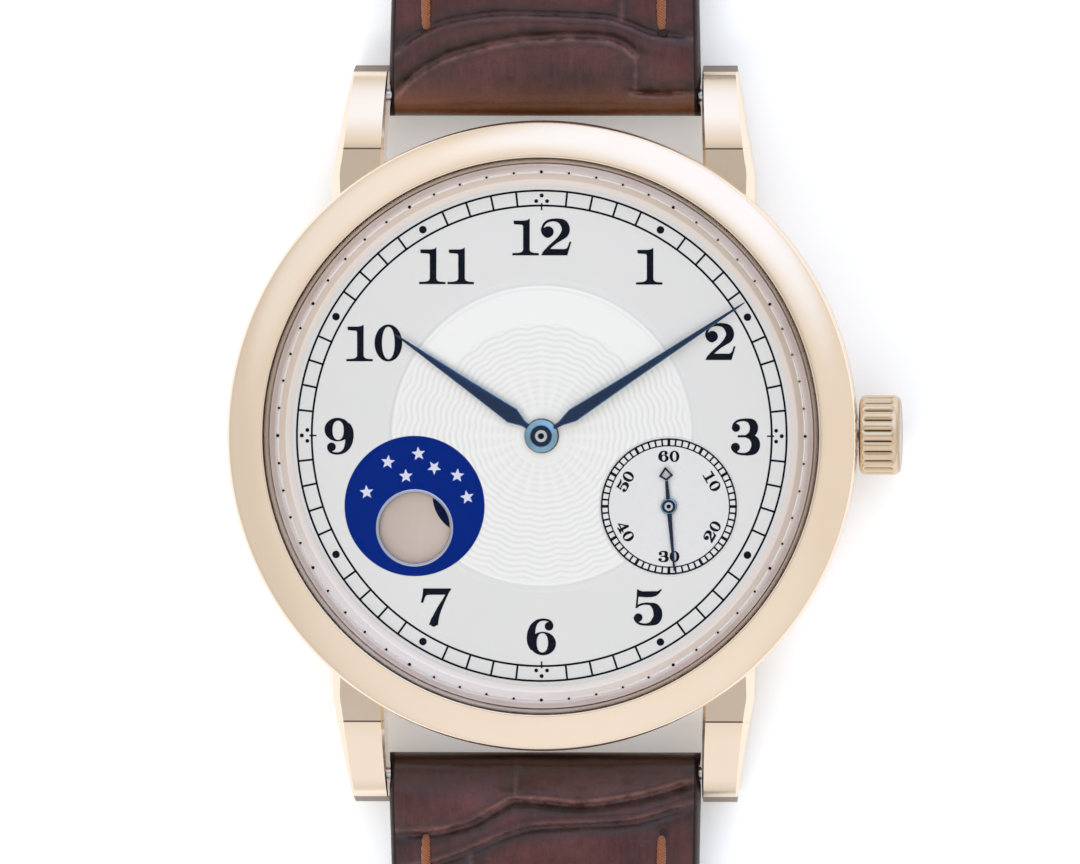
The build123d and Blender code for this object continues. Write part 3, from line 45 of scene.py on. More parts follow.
# ------------------------------------------------------------------ material helpers
class Build:
    """A small helper that wires one procedural material. Coordinates are in millimetres."""

    def __init__(self, name):
        self.m = bpy.data.materials.new(name)
        self.m.use_nodes = True
        self.t = self.m.node_tree
        self.t.nodes.clear()
        self.out = self.t.nodes.new("ShaderNodeOutputMaterial")
        self.p = self.t.nodes.new("ShaderNodeBsdfPrincipled")
        self.t.links.new(self.p.outputs[0], self.out.inputs[0])
        self.obj = self.t.nodes.new("ShaderNodeTexCoord").outputs["Object"]

    def link(self, a, b):
        self.t.links.new(a, b)

    def coords(self, scale=(1, 1, 1), offset=(0, 0, 0), rot=(0, 0, 0)):
        n = self.t.nodes.new("ShaderNodeMapping")
        n.vector_type = "POINT"
        n.inputs["Location"].default_value = offset
        n.inputs["Rotation"].default_value = rot
        n.inputs["Scale"].default_value = [1000.0 * s for s in scale]
        self.link(self.obj, n.inputs["Vector"])
        return n.outputs[0]

    def noise(self, vec, scale, detail=3.0, rough=0.55, distort=0.0):
        n = self.t.nodes.new("ShaderNodeTexNoise")
        n.inputs["Scale"].default_value = scale
        n.inputs["Detail"].default_value = detail
        n.inputs["Roughness"].default_value = rough
        n.inputs["Distortion"].default_value = distort
        self.link(vec, n.inputs["Vector"])
        return n.outputs["Fac"]

    def voronoi(self, vec, scale, feature="F1", rand=1.0):
        n = self.t.nodes.new("ShaderNodeTexVoronoi")
        n.feature = feature
        n.inputs["Scale"].default_value = scale
        n.inputs["Randomness"].default_value = rand
        self.link(vec, n.inputs["Vector"])
        return n.outputs["Distance"]

    def wave(self, vec, scale, kind="BANDS", direction="X", distort=0.0, dscale=1.0, profile="SIN"):
        n = self.t.nodes.new("ShaderNodeTexWave")
        n.wave_type = kind
        if kind == "BANDS":
            n.bands_direction = direction
        else:
            n.rings_direction = direction
        n.wave_profile = profile
        n.inputs["Scale"].default_value = scale
        n.inputs["Distortion"].default_value = distort
        n.inputs["Detail Scale"].default_value = dscale
        self.link(vec, n.inputs["Vector"])
        return n.outputs["Fac"]

    def remap(self, fac, lo, hi, a=0.0, b=1.0):
        n = self.t.nodes.new("ShaderNodeMapRange")
        n.inputs["From Min"].default_value = a
        n.inputs["From Max"].default_value = b
        n.inputs["To Min"].default_value = lo
        n.inputs["To Max"].default_value = hi
        self.link(fac, n.inputs["Value"])
        return n.outputs[0]

    def ramp(self, fac, stops):
        n = self.t.nodes.new("ShaderNodeValToRGB")
        while len(n.color_ramp.elements) < len(stops):
            n.color_ramp.elements.new(0.5)
        for e, (pos, col) in zip(n.color_ramp.elements, stops):
            e.position = pos
            e.color = tuple(col) + (1.0,)
        self.link(fac, n.inputs["Fac"])
        return n.outputs["Color"]

    def mix(self, fac, a, b, kind="MIX"):
        n = self.t.nodes.new("ShaderNodeMix")
        n.data_type = "RGBA"
        n.blend_type = kind
        if isinstance(fac, (int, float)):
            n.inputs[0].default_value = fac
        else:
            self.link(fac, n.inputs[0])
        for v, s in ((a, n.inputs[6]), (b, n.inputs[7])):
            if isinstance(v, tuple):
                s.default_value = v + (1.0,)
            else:
                self.link(v, s)
        return n.outputs[2]

    def math(self, op, a, b=None):
        n = self.t.nodes.new("ShaderNodeMath")
        n.operation = op
        for v, s in ((a, n.inputs[0]), (b, n.inputs[1])):
            if v is None:
                continue
            if isinstance(v, (int, float)):
                s.default_value = v
            else:
                self.link(v, s)
        return n.outputs[0]

    def attr(self, name):
        n = self.t.nodes.new("ShaderNodeAttribute")
        n.attribute_name = name
        return n.outputs["Fac"]

    def bump(self, height, strength=0.2, dist_mm=0.05):
        n = self.t.nodes.new("ShaderNodeBump")
        n.inputs["Strength"].default_value = strength
        n.inputs["Distance"].default_value = dist_mm * MM
        self.link(height, n.inputs["Height"])
        if self.p.inputs["Normal"].is_linked:
            self.link(self.p.inputs["Normal"].links[0].from_socket, n.inputs["Normal"])
        self.link(n.outputs[0], self.p.inputs["Normal"])

    def set(self, **kw):
        names = dict(color="Base Color", metal="Metallic", rough="Roughness", ior="IOR", coat="Coat Weight",
                     coat_rough="Coat Roughness", spec="Specular IOR Level", sheen="Sheen Weight", trans="Transmission Weight",
                     aniso="Anisotropic", sheen_rough="Sheen Roughness", alpha="Alpha", sheen_tint="Sheen Tint",
                     sss="Subsurface Weight")
        for k, v in kw.items():
            s = self.p.inputs[names[k]]
            if isinstance(v, bpy.types.NodeSocket):
                self.link(v, s)
            elif isinstance(v, tuple):
                s.default_value = v + (1.0,) if len(v) == 3 else v
            else:
                s.default_value = v
        return self


def metal(name, c0, c1, rough=(0.08, 0.16), scale=0.25, grain=None, grain_strength=0.04, pits=0.0):
    """Metal with a slow colour drift, uneven polish and a fine grain. grain is (sx, sy, sz) stretch in 1/mm."""
    b = Build(name)
    v = b.coords()
    n = b.noise(v, scale, 3.0)
    b.set(metal=1.0, color=b.mix(n, c0, c1))
    fine = b.noise(b.coords(grain or (1, 1, 1)), 6.0 if grain is None else 1.0, 4.0, 0.6)
    both = b.math("ADD", b.math("MULTIPLY", n, 0.4), b.math("MULTIPLY", fine, 0.6))
    b.set(rough=b.remap(both, rough[0], rough[1], 0.3, 0.7))
    b.bump(fine, grain_strength, 0.02)
    if pits:
        b.bump(b.noise(v, 30.0, 2.0), pits, 0.01)
    return b.m


GOLD_A, GOLD_B = (0.845, 0.685, 0.530), (0.885, 0.735, 0.585)
m_gold = metal("gold_polished", GOLD_A, GOLD_B, (0.10, 0.17), 0.18, (4, 4, 4), 0.012)
# darker gold on the bezel's inner step beside the crystal: painted shade in the recess
m_gold_step_painted_shade = metal("gold_inner_step_painted_shade", (0.42, 0.33, 0.26), (0.52, 0.41, 0.325), (0.16, 0.26), 0.3, (6, 6, 6), 0.03)
# satin gold made much darker for the lug end faces and the crease line across the lug top: painted shade
m_gold_end_painted_shade = metal("gold_satin_end_painted_shade", (0.20, 0.150, 0.110), (0.27, 0.205, 0.150), (0.30, 0.42), 0.8, (3, 3, 16), 0.10)
m_gold_band = metal("gold_brushed", (0.80, 0.64, 0.48), (0.86, 0.70, 0.54), (0.22, 0.34), 0.2, (0.5, 0.5, 26), 0.16)
m_gold_flange = metal("gold_flange", (0.84, 0.73, 0.67), (0.90, 0.79, 0.72), (0.34, 0.46), 0.3, (6, 6, 6), 0.03)
# darker tan gold for the flange's steeper slope: painted reflection
m_flange_slope_painted_reflection = metal("gold_flange_slope_painted_reflection", (0.72, 0.575, 0.485), (0.80, 0.655, 0.56), (0.30, 0.42), 0.3, (6, 6, 6), 0.03)
m_steel = metal("steel_ground", (0.58, 0.59, 0.61), (0.66, 0.67, 0.69), (0.18, 0.30), 0.6, (2, 18, 2), 0.06)
m_gilt = metal("gilt_brass", (0.78, 0.57, 0.26), (0.86, 0.66, 0.34), (0.20, 0.32), 0.7, (8, 8, 8), 0.08)
m_chaton = metal("chaton_gold", (0.86, 0.62, 0.26), (0.92, 0.70, 0.34), (0.08, 0.15), 1.2, (9, 9, 9), 0.03)
m_screw = metal("blued_screw", (0.010, 0.035, 0.22), (0.020, 0.060, 0.34), (0.10, 0.18), 1.0, (2, 20, 2), 0.03)


def make_window():
    """Polished window ring."""
    b = Build("window_ring_polish")
    v = b.coords()
    fine = b.noise(b.coords((9, 9, 9)), 1.0, 3.0)
    c = b.mix(b.noise(v, 0.4, 3.0), (0.41, 0.41, 0.48), (0.50, 0.50, 0.58))
    b.set(metal=1.0, color=c, rough=b.remap(fine, 0.14, 0.22))
    b.bump(fine, 0.02, 0.02)
    return b.m


m_window = make_window()


def make_blued():
    b = Build("blued_hands")
    v = b.coords()
    n = b.noise(v, 0.5, 2.0)
    fine = b.noise(b.coords((12, 12, 12)), 1.0, 3.0)
    b.set(metal=0.85, color=b.mix(n, (0.016, 0.027, 0.062), (0.024, 0.040, 0.088)), rough=b.remap(fine, 0.16, 0.28), spec=0.3, coat=0.05,
          coat_rough=0.08)
    b.bump(fine, 0.02, 0.01)
    return b.m


def make_crown_gold():
    """Polished gold, darker brown at the bottom of the grooves and towards the outer end: painted shade."""
    b = Build("gold_crown_painted_shade")
    v = b.coords()
    n = b.noise(v, 0.5, 3.0)
    fine = b.noise(b.coords((3, 14, 14)), 1.0, 4.0, 0.6)
    g = b.attr("groove")
    c = b.mix(n, (0.64, 0.49, 0.335), (0.72, 0.565, 0.40))
    # brown at the bottom of the grooves and at the outer end: painted shade
    c = b.mix(b.remap(g, 0.0, 0.88, 0.20, 0.95), c, (0.17, 0.105, 0.055))
    b.set(metal=1.0, color=c, rough=b.remap(fine, 0.12, 0.24))
    b.bump(fine, 0.03, 0.02)
    return b.m


def make_ink(name="dial_ink", c0=(0.0035, 0.004, 0.008), c1=(0.006, 0.008, 0.018)):
    b = Build(name)
    v = b.coords()
    n = b.noise(v, 0.35, 2.0)
    fine = b.noise(b.coords((30, 30, 30)), 1.0, 3.0)
    b.set(color=b.mix(n, c0, c1), rough=b.remap(fine, 0.32, 0.5), spec=0.05)
    b.bump(fine, 0.10, 0.01)
    return b.m


def make_dial():
    b = Build("dial_silver")
    v = b.coords()
    slow = b.noise(v, 0.10, 2.0)
    grain = b.noise(b.coords((1, 1, 1)), 26.0, 3.0, 0.7)
    base = b.mix(slow, (0.716, 0.679, 0.652), (0.756, 0.719, 0.690))
    base = b.mix(b.remap(grain, 0.0, 0.10, 0.35, 0.75), base, (0.80, 0.79, 0.77))
    b.set(color=base, metal=0.22, rough=b.remap(grain, 0.34, 0.50), spec=0.5)
    b.bump(grain, 0.06, 0.012)
    return b.m


def make_guilloche():
    b = Build("dial_engine_turned_painted_shading")
    v = b.coords()
    slow = b.noise(v, 0.12, 2.0)
    grain = b.noise(v, 40.0, 2.0, 0.6)
    base = b.mix(slow, (0.835, 0.796, 0.760), (0.862, 0.823, 0.787))
    # crests of the turning lighter, valleys darker: painted highlight and painted shade
    ridge = b.attr("ridge")
    base = b.mix(b.remap(ridge, 0.0, 0.38, 0.45, 0.0), base, (0.53, 0.51, 0.48))
    base = b.mix(b.remap(ridge, 0.0, 0.32, 0.55, 1.0), base, (0.985, 0.955, 0.920))
    b.set(color=base, metal=0.30, rough=b.remap(grain, 0.30, 0.42), spec=0.5)
    b.bump(grain, 0.03, 0.008)
    return b.m


def make_seconds_dial():
    b = Build("seconds_silver")
    v = b.coords()
    slow = b.noise(v, 0.25, 2.0)
    grain = b.noise(v, 30.0, 3.0, 0.7)
    b.set(color=b.mix(slow, (0.732, 0.698, 0.682), (0.770, 0.736, 0.716)), metal=0.25, rough=b.remap(grain, 0.34, 0.48))
    b.bump(grain, 0.04, 0.01)
    return b.m


def make_enamel():
    b = Build("sky_enamel")
    v = b.coords()
    slow = b.noise(v, 0.35, 3.0)
    speck = b.noise(v, 22.0, 3.0, 0.6)
    c = b.mix(slow, (0.0002, 0.015, 0.160), (0.0003, 0.018, 0.190))
    c = b.mix(b.remap(speck, 0.0, 0.25, 0.55, 0.75), c, (0.0003, 0.023, 0.25))
    b.set(color=c, rough=b.remap(speck, 0.26, 0.38), spec=0.05, coat=0.0)
    b.bump(speck, 0.05, 0.01)
    return b.m


def make_navy():
    b = Build("moon_shadow_navy")
    v = b.coords()
    speck = b.noise(v, 18.0, 3.0)
    b.set(color=b.mix(speck, (0.0008, 0.003, 0.018), (0.0008, 0.010, 0.055)), rough=b.remap(speck, 0.28, 0.4), spec=0.06)
    b.bump(speck, 0.04, 0.01)
    return b.m


def make_moon():
    b = Build("moon_gold")
    brushed = b.noise(b.coords((0.4, 9, 9), rot=(0, 0, 0)), 1.2, 4.0, 0.6)
    brushed2 = b.noise(b.coords((5, 0.25, 5)), 1.4, 4.0, 0.6)
    slow = b.noise(b.coords(), 0.30, 2.0)
    c = b.mix(slow, (0.56, 0.442, 0.378), (0.68, 0.552, 0.482))
    c = b.mix(b.remap(brushed2, 0.0, 0.22, 0.30, 0.7), c, (0.52, 0.42, 0.37))
    b.set(color=c, metal=0.55, rough=b.remap(brushed, 0.30, 0.44))
    b.bump(brushed2, 0.04, 0.02)
    return b.m


def make_star():
    b = Build("star_silver")
    v = b.coords()
    n = b.noise(v, 14.0, 3.0)
    b.set(color=b.mix(n, (0.62, 0.62, 0.74), (0.74, 0.73, 0.82)), metal=0.35, rough=b.remap(n, 0.25, 0.4))
    b.bump(n, 0.06, 0.01)
    return b.m


def make_glass(name, tint=(0.985, 0.995, 0.99), ior=1.07):
    b = Build(name)
    t = b.t
    t.nodes.remove(b.p)
    fres = t.nodes.new("ShaderNodeFresnel")
    fres.inputs["IOR"].default_value = ior
    clear = t.nodes.new("ShaderNodeBsdfTransparent")
    smear = b.noise(b.coords(), 0.3, 2.0)
    b.link(b.mix(smear, tint, (0.995, 0.995, 1.0)), clear.inputs["Color"])
    gloss = t.nodes.new("ShaderNodeBsdfGlossy")
    gloss.inputs["Roughness"].default_value = 0.0
    b.link(b.remap(smear, 0.01, 0.03), gloss.inputs["Roughness"])
    mixs = t.nodes.new("ShaderNodeMixShader")
    b.link(fres.outputs[0], mixs.inputs[0])
    b.link(clear.outputs[0], mixs.inputs[1])
    b.link(gloss.outputs[0], mixs.inputs[2])
    b.link(mixs.outputs[0], b.out.inputs[0])
    return b.m


def make_ruby():
    b = Build("ruby_jewel")
    v = b.coords()
    n = b.noise(v, 1.5, 2.0)
    b.set(color=b.mix(n, (0.62, 0.015, 0.055), (0.78, 0.03, 0.09)), rough=b.remap(n, 0.03, 0.08), ior=1.76, coat=1.0, coat_rough=0.02,
          trans=0.25, spec=0.7)
    return b.m


def make_ribbed(name="plate_ribbing_painted_shade", angle=0.35, c0=(0.70, 0.69, 0.66), c1=(0.78, 0.77, 0.74)):
    """Nickel silver with broad polished ribs, darker at the step between ribs as painted shade."""
    b = Build(name)
    v = b.coords(rot=(0, 0, angle))
    w = b.wave(v, 0.17, "BANDS", "X", 0.0, 1.0, "SAW")
    fine = b.noise(b.coords((0.4, 22, 1), rot=(0, 0, angle + 0.45)), 1.0, 3.0)
    slow = b.noise(b.coords(), 0.2, 2.0)
    c = b.mix(slow, c0, c1)
    # darker at the step between ribs: painted shade
    c = b.mix(b.remap(w, 0.0, 0.22), c, (0.42, 0.41, 0.40))
    b.set(metal=1.0, color=c, rough=b.remap(w, 0.16, 0.34), aniso=0.4)
    b.bump(w, 0.55, 0.06)
    b.bump(fine, 0.10, 0.02)
    return b.m


def make_frosted(name, c0, c1):
    b = Build(name)
    v = b.coords()
    g = b.noise(v, 22.0, 3.0, 0.7)
    slow = b.noise(v, 0.4, 2.0)
    b.set(metal=1.0, color=b.mix(slow, c0, c1), rough=b.remap(g, 0.30, 0.46))
    b.bump(g, 0.25, 0.02)
    return b.m


def make_snailed(name, centre, c0, c1, pitch=3.2):
    """Circular graining round a wheel's own centre."""
    b = Build(name)
    v = b.coords(offset=(-centre[0], -centre[1], 0))
    n = b.t.nodes.new("ShaderNodeVectorMath")
    n.operation = "MULTIPLY"
    n.inputs[1].default_value = (1, 1, 0)
    b.link(v, n.inputs[0])
    w = b.wave(n.outputs[0], pitch, "RINGS", "SPHERICAL", 1.2, 2.0)
    slow = b.noise(b.coords(), 0.8, 2.0)
    b.set(metal=1.0, color=b.mix(slow, c0, c1), rough=b.remap(w, 0.14, 0.30))
    b.bump(w, 0.25, 0.015)
    return b.m


def make_rubber():
    b = Build("gasket_rubber")
    v = b.coords()
    g = b.noise(v, 9.0, 4.0)
    b.set(color=b.mix(g, (0.012, 0.012, 0.013), (0.030, 0.029, 0.028)), rough=b.remap(g, 0.55, 0.8))
    b.bump(g, 0.2, 0.03)
    return b.m


def make_leather(name="strap_leather_painted_light"):
    """Glazed scale leather, wine on the scales. Painted shade: nearly black towards the creases, a little darker along
    fine wrinkles, and darkest where the shade attribute is set. Painted highlights: pinkish along the creases and
    reddish brown where it rolls over.
    """
    b = Build(name)
    v = b.coords()
    crease = b.attr("scale_top")
    nose = b.attr("nose_painted_highlight")
    slow = b.noise(v, 0.20, 3.0)
    mid = b.noise(v, 0.9, 4.0, 0.6)
    fine = b.noise(b.coords((7, 7, 7)), 1.0, 4.0, 0.65)
    streak = b.noise(b.coords((3.4, 0.50, 1.0)), 1.0, 4.0, 0.65)
    hair = b.noise(b.coords((13.0, 1.1, 2.0)), 1.0, 3.0, 0.6)
    wrinkle = b.voronoi(b.coords((1.5, 2.6, 2.0)), 1.0, "DISTANCE_TO_EDGE")
    body = b.mix(b.remap(slow, 0.0, 1.0, 0.30, 0.70), (0.026, 0.0050, 0.0060), (0.092, 0.0230, 0.0230))
    body = b.mix(b.remap(streak, 0.0, 0.50, 0.42, 0.72), body, (0.105, 0.0290, 0.0270))
    body = b.mix(b.remap(hair, 0.0, 0.32, 0.52, 0.72), body, (0.014, 0.0030, 0.0040))
    # darker towards the creases: painted shade
    c = b.mix(b.remap(crease, 0.92, 0.0, 0.05, 0.70), body, (0.0170, 0.0080, 0.0100))
    lip = b.attr("lip")
    # pinkish along the creases: painted highlight
    c = b.mix(b.math("MULTIPLY", lip, b.remap(mid, 0.32, 1.0, 0.38, 0.62)), c, (0.230, 0.0980, 0.0840))
    # reddish brown band where the strap rolls over the bar: painted highlight
    c = b.mix(b.math("MULTIPLY", nose, b.remap(mid, 0.55, 1.0)), c, (0.175, 0.0600, 0.0170))
    c = b.mix(b.attr("shade"), c, (0.0140, 0.0048, 0.0026))
    # a little darker along the fine wrinkles: painted shade
    c = b.mix(b.remap(wrinkle, 0.25, 0.0, 0.0, 0.05), c, (0.014, 0.0040, 0.0050))
    b.set(color=c, rough=b.remap(fine, 0.24, 0.38), spec=0.34, coat=0.16, coat_rough=0.12, sheen=0.01, sheen_rough=0.4,
          sheen_tint=(0.72, 0.62, 0.72))
    b.bump(wrinkle, 0.10, 0.05)
    b.bump(mid, 0.30, 0.16)
    b.bump(hair, 0.12, 0.03)
    b.bump(fine, 0.14, 0.03)
    return b.m


def make_lining():
    b = Build("strap_lining")
    v = b.coords()
    pores = b.voronoi(v, 3.6)
    n = b.noise(v, 2.0, 4.0)
    b.set(color=b.mix(n, (0.075, 0.030, 0.014), (0.120, 0.052, 0.026)), rough=b.remap(n, 0.5, 0.7), spec=0.35)
    b.bump(pores, 0.35, 0.05)
    b.bump(n, 0.2, 0.08)
    return b.m


def make_edge():
    b = Build("strap_edge_paint")
    v = b.coords()
    n = b.noise(v, 2.2, 4.0)
    b.set(color=b.mix(n, (0.010, 0.0035, 0.0036), (0.024, 0.0085, 0.0075)), rough=b.remap(n, 0.36, 0.55), spec=0.22)
    b.bump(n, 0.2, 0.06)
    return b.m


def make_thread():
    b = Build("waxed_thread")
    v = b.coords()
    n = b.noise(v, 9.0, 4.0)
    ply = b.wave(b.coords((1, 1, 0.4), rot=(0, 0, 0.6)), 2.4, "BANDS", "Y", 0.6, 2.0)
    c = b.mix(n, (0.25, 0.066, 0.016), (0.42, 0.122, 0.030))
    # darker bands between the plies of the twist: painted shade
    c = b.mix(b.remap(ply, 0.0, 0.65), c, (0.10, 0.024, 0.008))
    b.set(color=c, rough=b.remap(n, 0.5, 0.7), sheen=0.3, sheen_rough=0.5)
    b.bump(ply, 0.5, 0.06)
    b.bump(n, 0.2, 0.03)
    return b.m


m_gold_crown_painted_shade = make_crown_gold()
m_blued = make_blued()
# paler blue on the polished bevels of hands and bosses: painted highlight
m_blued_bevel_painted_highlight = metal("blued_bevel_painted_highlight", (0.17, 0.30, 0.40), (0.27, 0.42, 0.53), (0.12, 0.22), 1.6, (12, 12, 12), 0.03)
m_ink = make_ink()
m_ink_num = make_ink("numeral_ink", (0.0030, 0.0040, 0.0075), (0.0055, 0.0078, 0.0170))
m_dial = make_dial()
m_guil_painted_shading = make_guilloche()
m_sec = make_seconds_dial()
m_enamel = make_enamel()
m_navy = make_navy()
m_moon = make_moon()
m_star = make_star()
m_glass = make_glass("sapphire_front")
m_glass_back = make_glass("sapphire_back", ior=1.3)
m_gasket_clear = make_glass("gasket_clear_nylon", (0.90, 0.86, 0.85), 1.35)
m_ruby = make_ruby()
m_ribbed_painted_shade = make_ribbed()
m_plate_in = make_frosted("plate_frosted", (0.66, 0.65, 0.62), (0.74, 0.73, 0.70))
m_cock = make_frosted("cock_silvered", (0.72, 0.70, 0.66), (0.80, 0.78, 0.74))
m_rubber = make_rubber()
m_leather_painted_light = make_leather()
m_lining = make_lining()
m_edge = make_edge()
m_thread = make_thread()


# ------------------------------------------------------------------ mesh helpers
def link_mesh(name, me, mats, body, smooth=True, replace=(), sharp=None):
    if smooth:
        me.polygons.foreach_set("use_smooth", np.ones(len(me.polygons), dtype=bool))
        if sharp is not None:
            me.set_sharp_from_angle(angle=math.radians(sharp))
    me.update()
    o = bpy.data.objects.new(name, me)
    scene.collection.objects.link(o)
    for m in mats if isinstance(mats, (list, tuple)) else [mats]:
        me.materials.append(m)
    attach(o, body)
    if replace:
        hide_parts(*replace)
    return o


def poly_mesh(name, verts_mm, faces):
    me = bpy.data.meshes.new(name)
    me.from_pydata([tuple(float(c) * MM for c in v) for v in verts_mm], [], faces)
    me.validate()
    return me


def quad_mesh(name, verts_mm, quads):
    me = bpy.data.meshes.new(name)
    v = np.asarray(verts_mm, dtype=np.float64) * MM
    q = np.asarray(quads, dtype=np.int32)
    me.vertices.add(len(v))
    me.vertices.foreach_set("co", v.ravel())
    me.loops.add(q.size)
    me.loops.foreach_set("vertex_index", q.ravel())
    me.polygons.add(len(q))
    me.polygons.foreach_set("loop_start", np.arange(len(q), dtype=np.int32) * 4)
    me.update(calc_edges=True)
    return me


def lathe_mesh(name, profile, segs=160, at=(0.0, 0.0)):
    """Closed solid of revolution about a vertical line through at, from a closed (r, z) profile with r > 0."""
    p = np.asarray(profile, float)
    n = len(p)
    a = np.linspace(0, 2 * math.pi, segs, endpoint=False)
    X = p[None, :, 0] * np.cos(a)[:, None] + at[0]
    Y = p[None, :, 0] * np.sin(a)[:, None] + at[1]
    Z = np.broadcast_to(p[None, :, 1], X.shape)
    verts = np.stack([X, Y, Z], -1).reshape(-1, 3)
    i, j = np.meshgrid(np.arange(segs), np.arange(n), indexing="ij")
    i2, j2 = (i + 1) % segs, (j + 1) % n
    quads = np.stack([i * n + j, i2 * n + j, i2 * n + j2, i * n + j2], -1).reshape(-1, 4)
    return quad_mesh(name, verts, quads)


def disc_profile(r0, r1, z0, z1, bevel=0.0):
    if bevel:
        return [(r0, z0), (r1, z0), (r1, z1 - bevel), (r1 - bevel, z1), (r0 + bevel, z1), (r0, z1 - bevel)]
    return [(r0, z0), (r1, z0), (r1, z1), (r0, z1)]


class Solid:
    """Collects many small closed shapes into one mesh."""

    def __init__(self):
        self.v, self.f = [], []

    def add(self, verts, faces):
        k = len(self.v)
        self.v += [tuple(v) for v in verts]
        self.f += [tuple(i + k for i in f) for f in faces]

    def prism(self, pts, z0, z1, inset=0.0):
        """Closed prism over a convex or simple outline, anticlockwise."""
        n = len(pts)
        tris = tessellate_polygon([[Vector((p[0], p[1], 0)) for p in pts]])
        v = [(p[0], p[1], z0) for p in pts] + [(p[0], p[1], z1) for p in pts]
        f = [(i, (i + 1) % n, n + (i + 1) % n, n + i) for i in range(n)]
        for t in tris:
            a, b, c = (pts[i] for i in t)
            up = (b[0] - a[0]) * (c[1] - a[1]) - (b[1] - a[1]) * (c[0] - a[0]) > 0
            t = t if up else t[::-1]
            f.append(tuple(n + i for i in t))
            f.append(tuple(t[::-1]))
        self.add(v, f)

    def box(self, c, along, length, width, z0, z1):
        ux, uy = math.cos(along), math.sin(along)
        h, w = length / 2, width / 2
        pts = [(c[0] + ux * a - uy * b, c[1] + uy * a + ux * b) for a, b in ((-h, -w), (h, -w), (h, w), (-h, w))]
        self.prism(pts, z0, z1)

    def ring(self, c, r0, r1, z0, z1, segs=180, a0=0.0, a1=2 * math.pi):
        closed = abs(a1 - a0 - 2 * math.pi) < 1e-6
        n = segs if closed else segs + 1
        v = []
        for i in range(n):
            a = a0 + (a1 - a0) * i / segs
            ca, sa = math.cos(a), math.sin(a)
            v += [(c[0] + r0 * ca, c[1] + r0 * sa, z0), (c[0] + r1 * ca, c[1] + r1 * sa, z0),
                  (c[0] + r1 * ca, c[1] + r1 * sa, z1), (c[0] + r0 * ca, c[1] + r0 * sa, z1)]
        f = []
        for i in range(n if closed else n - 1):
            p, q = 4 * i, 4 * ((i + 1) % n)
            for j in range(4):
                k = (j + 1) % 4
                f.append((p + j, q + j, q + k, p + k)[::-1])
        if not closed:
            f += [(0, 1, 2, 3)[::-1], tuple(4 * (n - 1) + j for j in (0, 1, 2, 3))]
        self.add(v, f)

    def dot(self, c, r, z0, z1, segs=28, crown=0.35):
        """Round dot with a softly crowned top."""
        v, f = [], []
        rows = [(r, z0), (r, z1 - (z1 - z0) * crown), (r * 0.86, z1 - (z1 - z0) * crown * 0.3), (r * 0.5, z1)]
        for rr, z in rows:
            v += [(c[0] + rr * math.cos(2 * math.pi * i / segs), c[1] + rr * math.sin(2 * math.pi * i / segs), z) for i in range(segs)]
        for k in range(len(rows) - 1):
            for i in range(segs):
                j = (i + 1) % segs
                f.append((k * segs + i, k * segs + j, (k + 1) * segs + j, (k + 1) * segs + i))
        f.append(tuple(range((len(rows) - 1) * segs, len(rows) * segs)))
        f.append(tuple(range(segs))[::-1])
        self.add(v, f)

    def mesh(self, name):
        return poly_mesh(name, self.v, self.f)


def polar(r, clock):
    """Point at a clock angle in degrees, 0 at twelve."""
    a = math.radians(90.0 - clock)
    return (r * math.cos(a), r * math.sin(a))


# ------------------------------------------------------------------ numerals
def seg_dist(P, a, b):
    a, b = np.asarray(a, float), np.asarray(b, float)
    d = b - a
    t = np.clip(((P - a) @ d) / max(d @ d, 1e-12), 0, 1)
    return np.linalg.norm(P - a - t[..., None] * d, axis=-1)


def bez(*pts, n=26):
    """Sampled Bezier curve of any degree."""
    t = np.linspace(0, 1, n)[:, None]
    p = [np.asarray(q, float)[None, :] * np.ones((n, 1)) for q in pts]
    while len(p) > 1:
        p = [(1 - t) * p[i] + t * p[i + 1] for i in range(len(p) - 1)]
    return p[0]


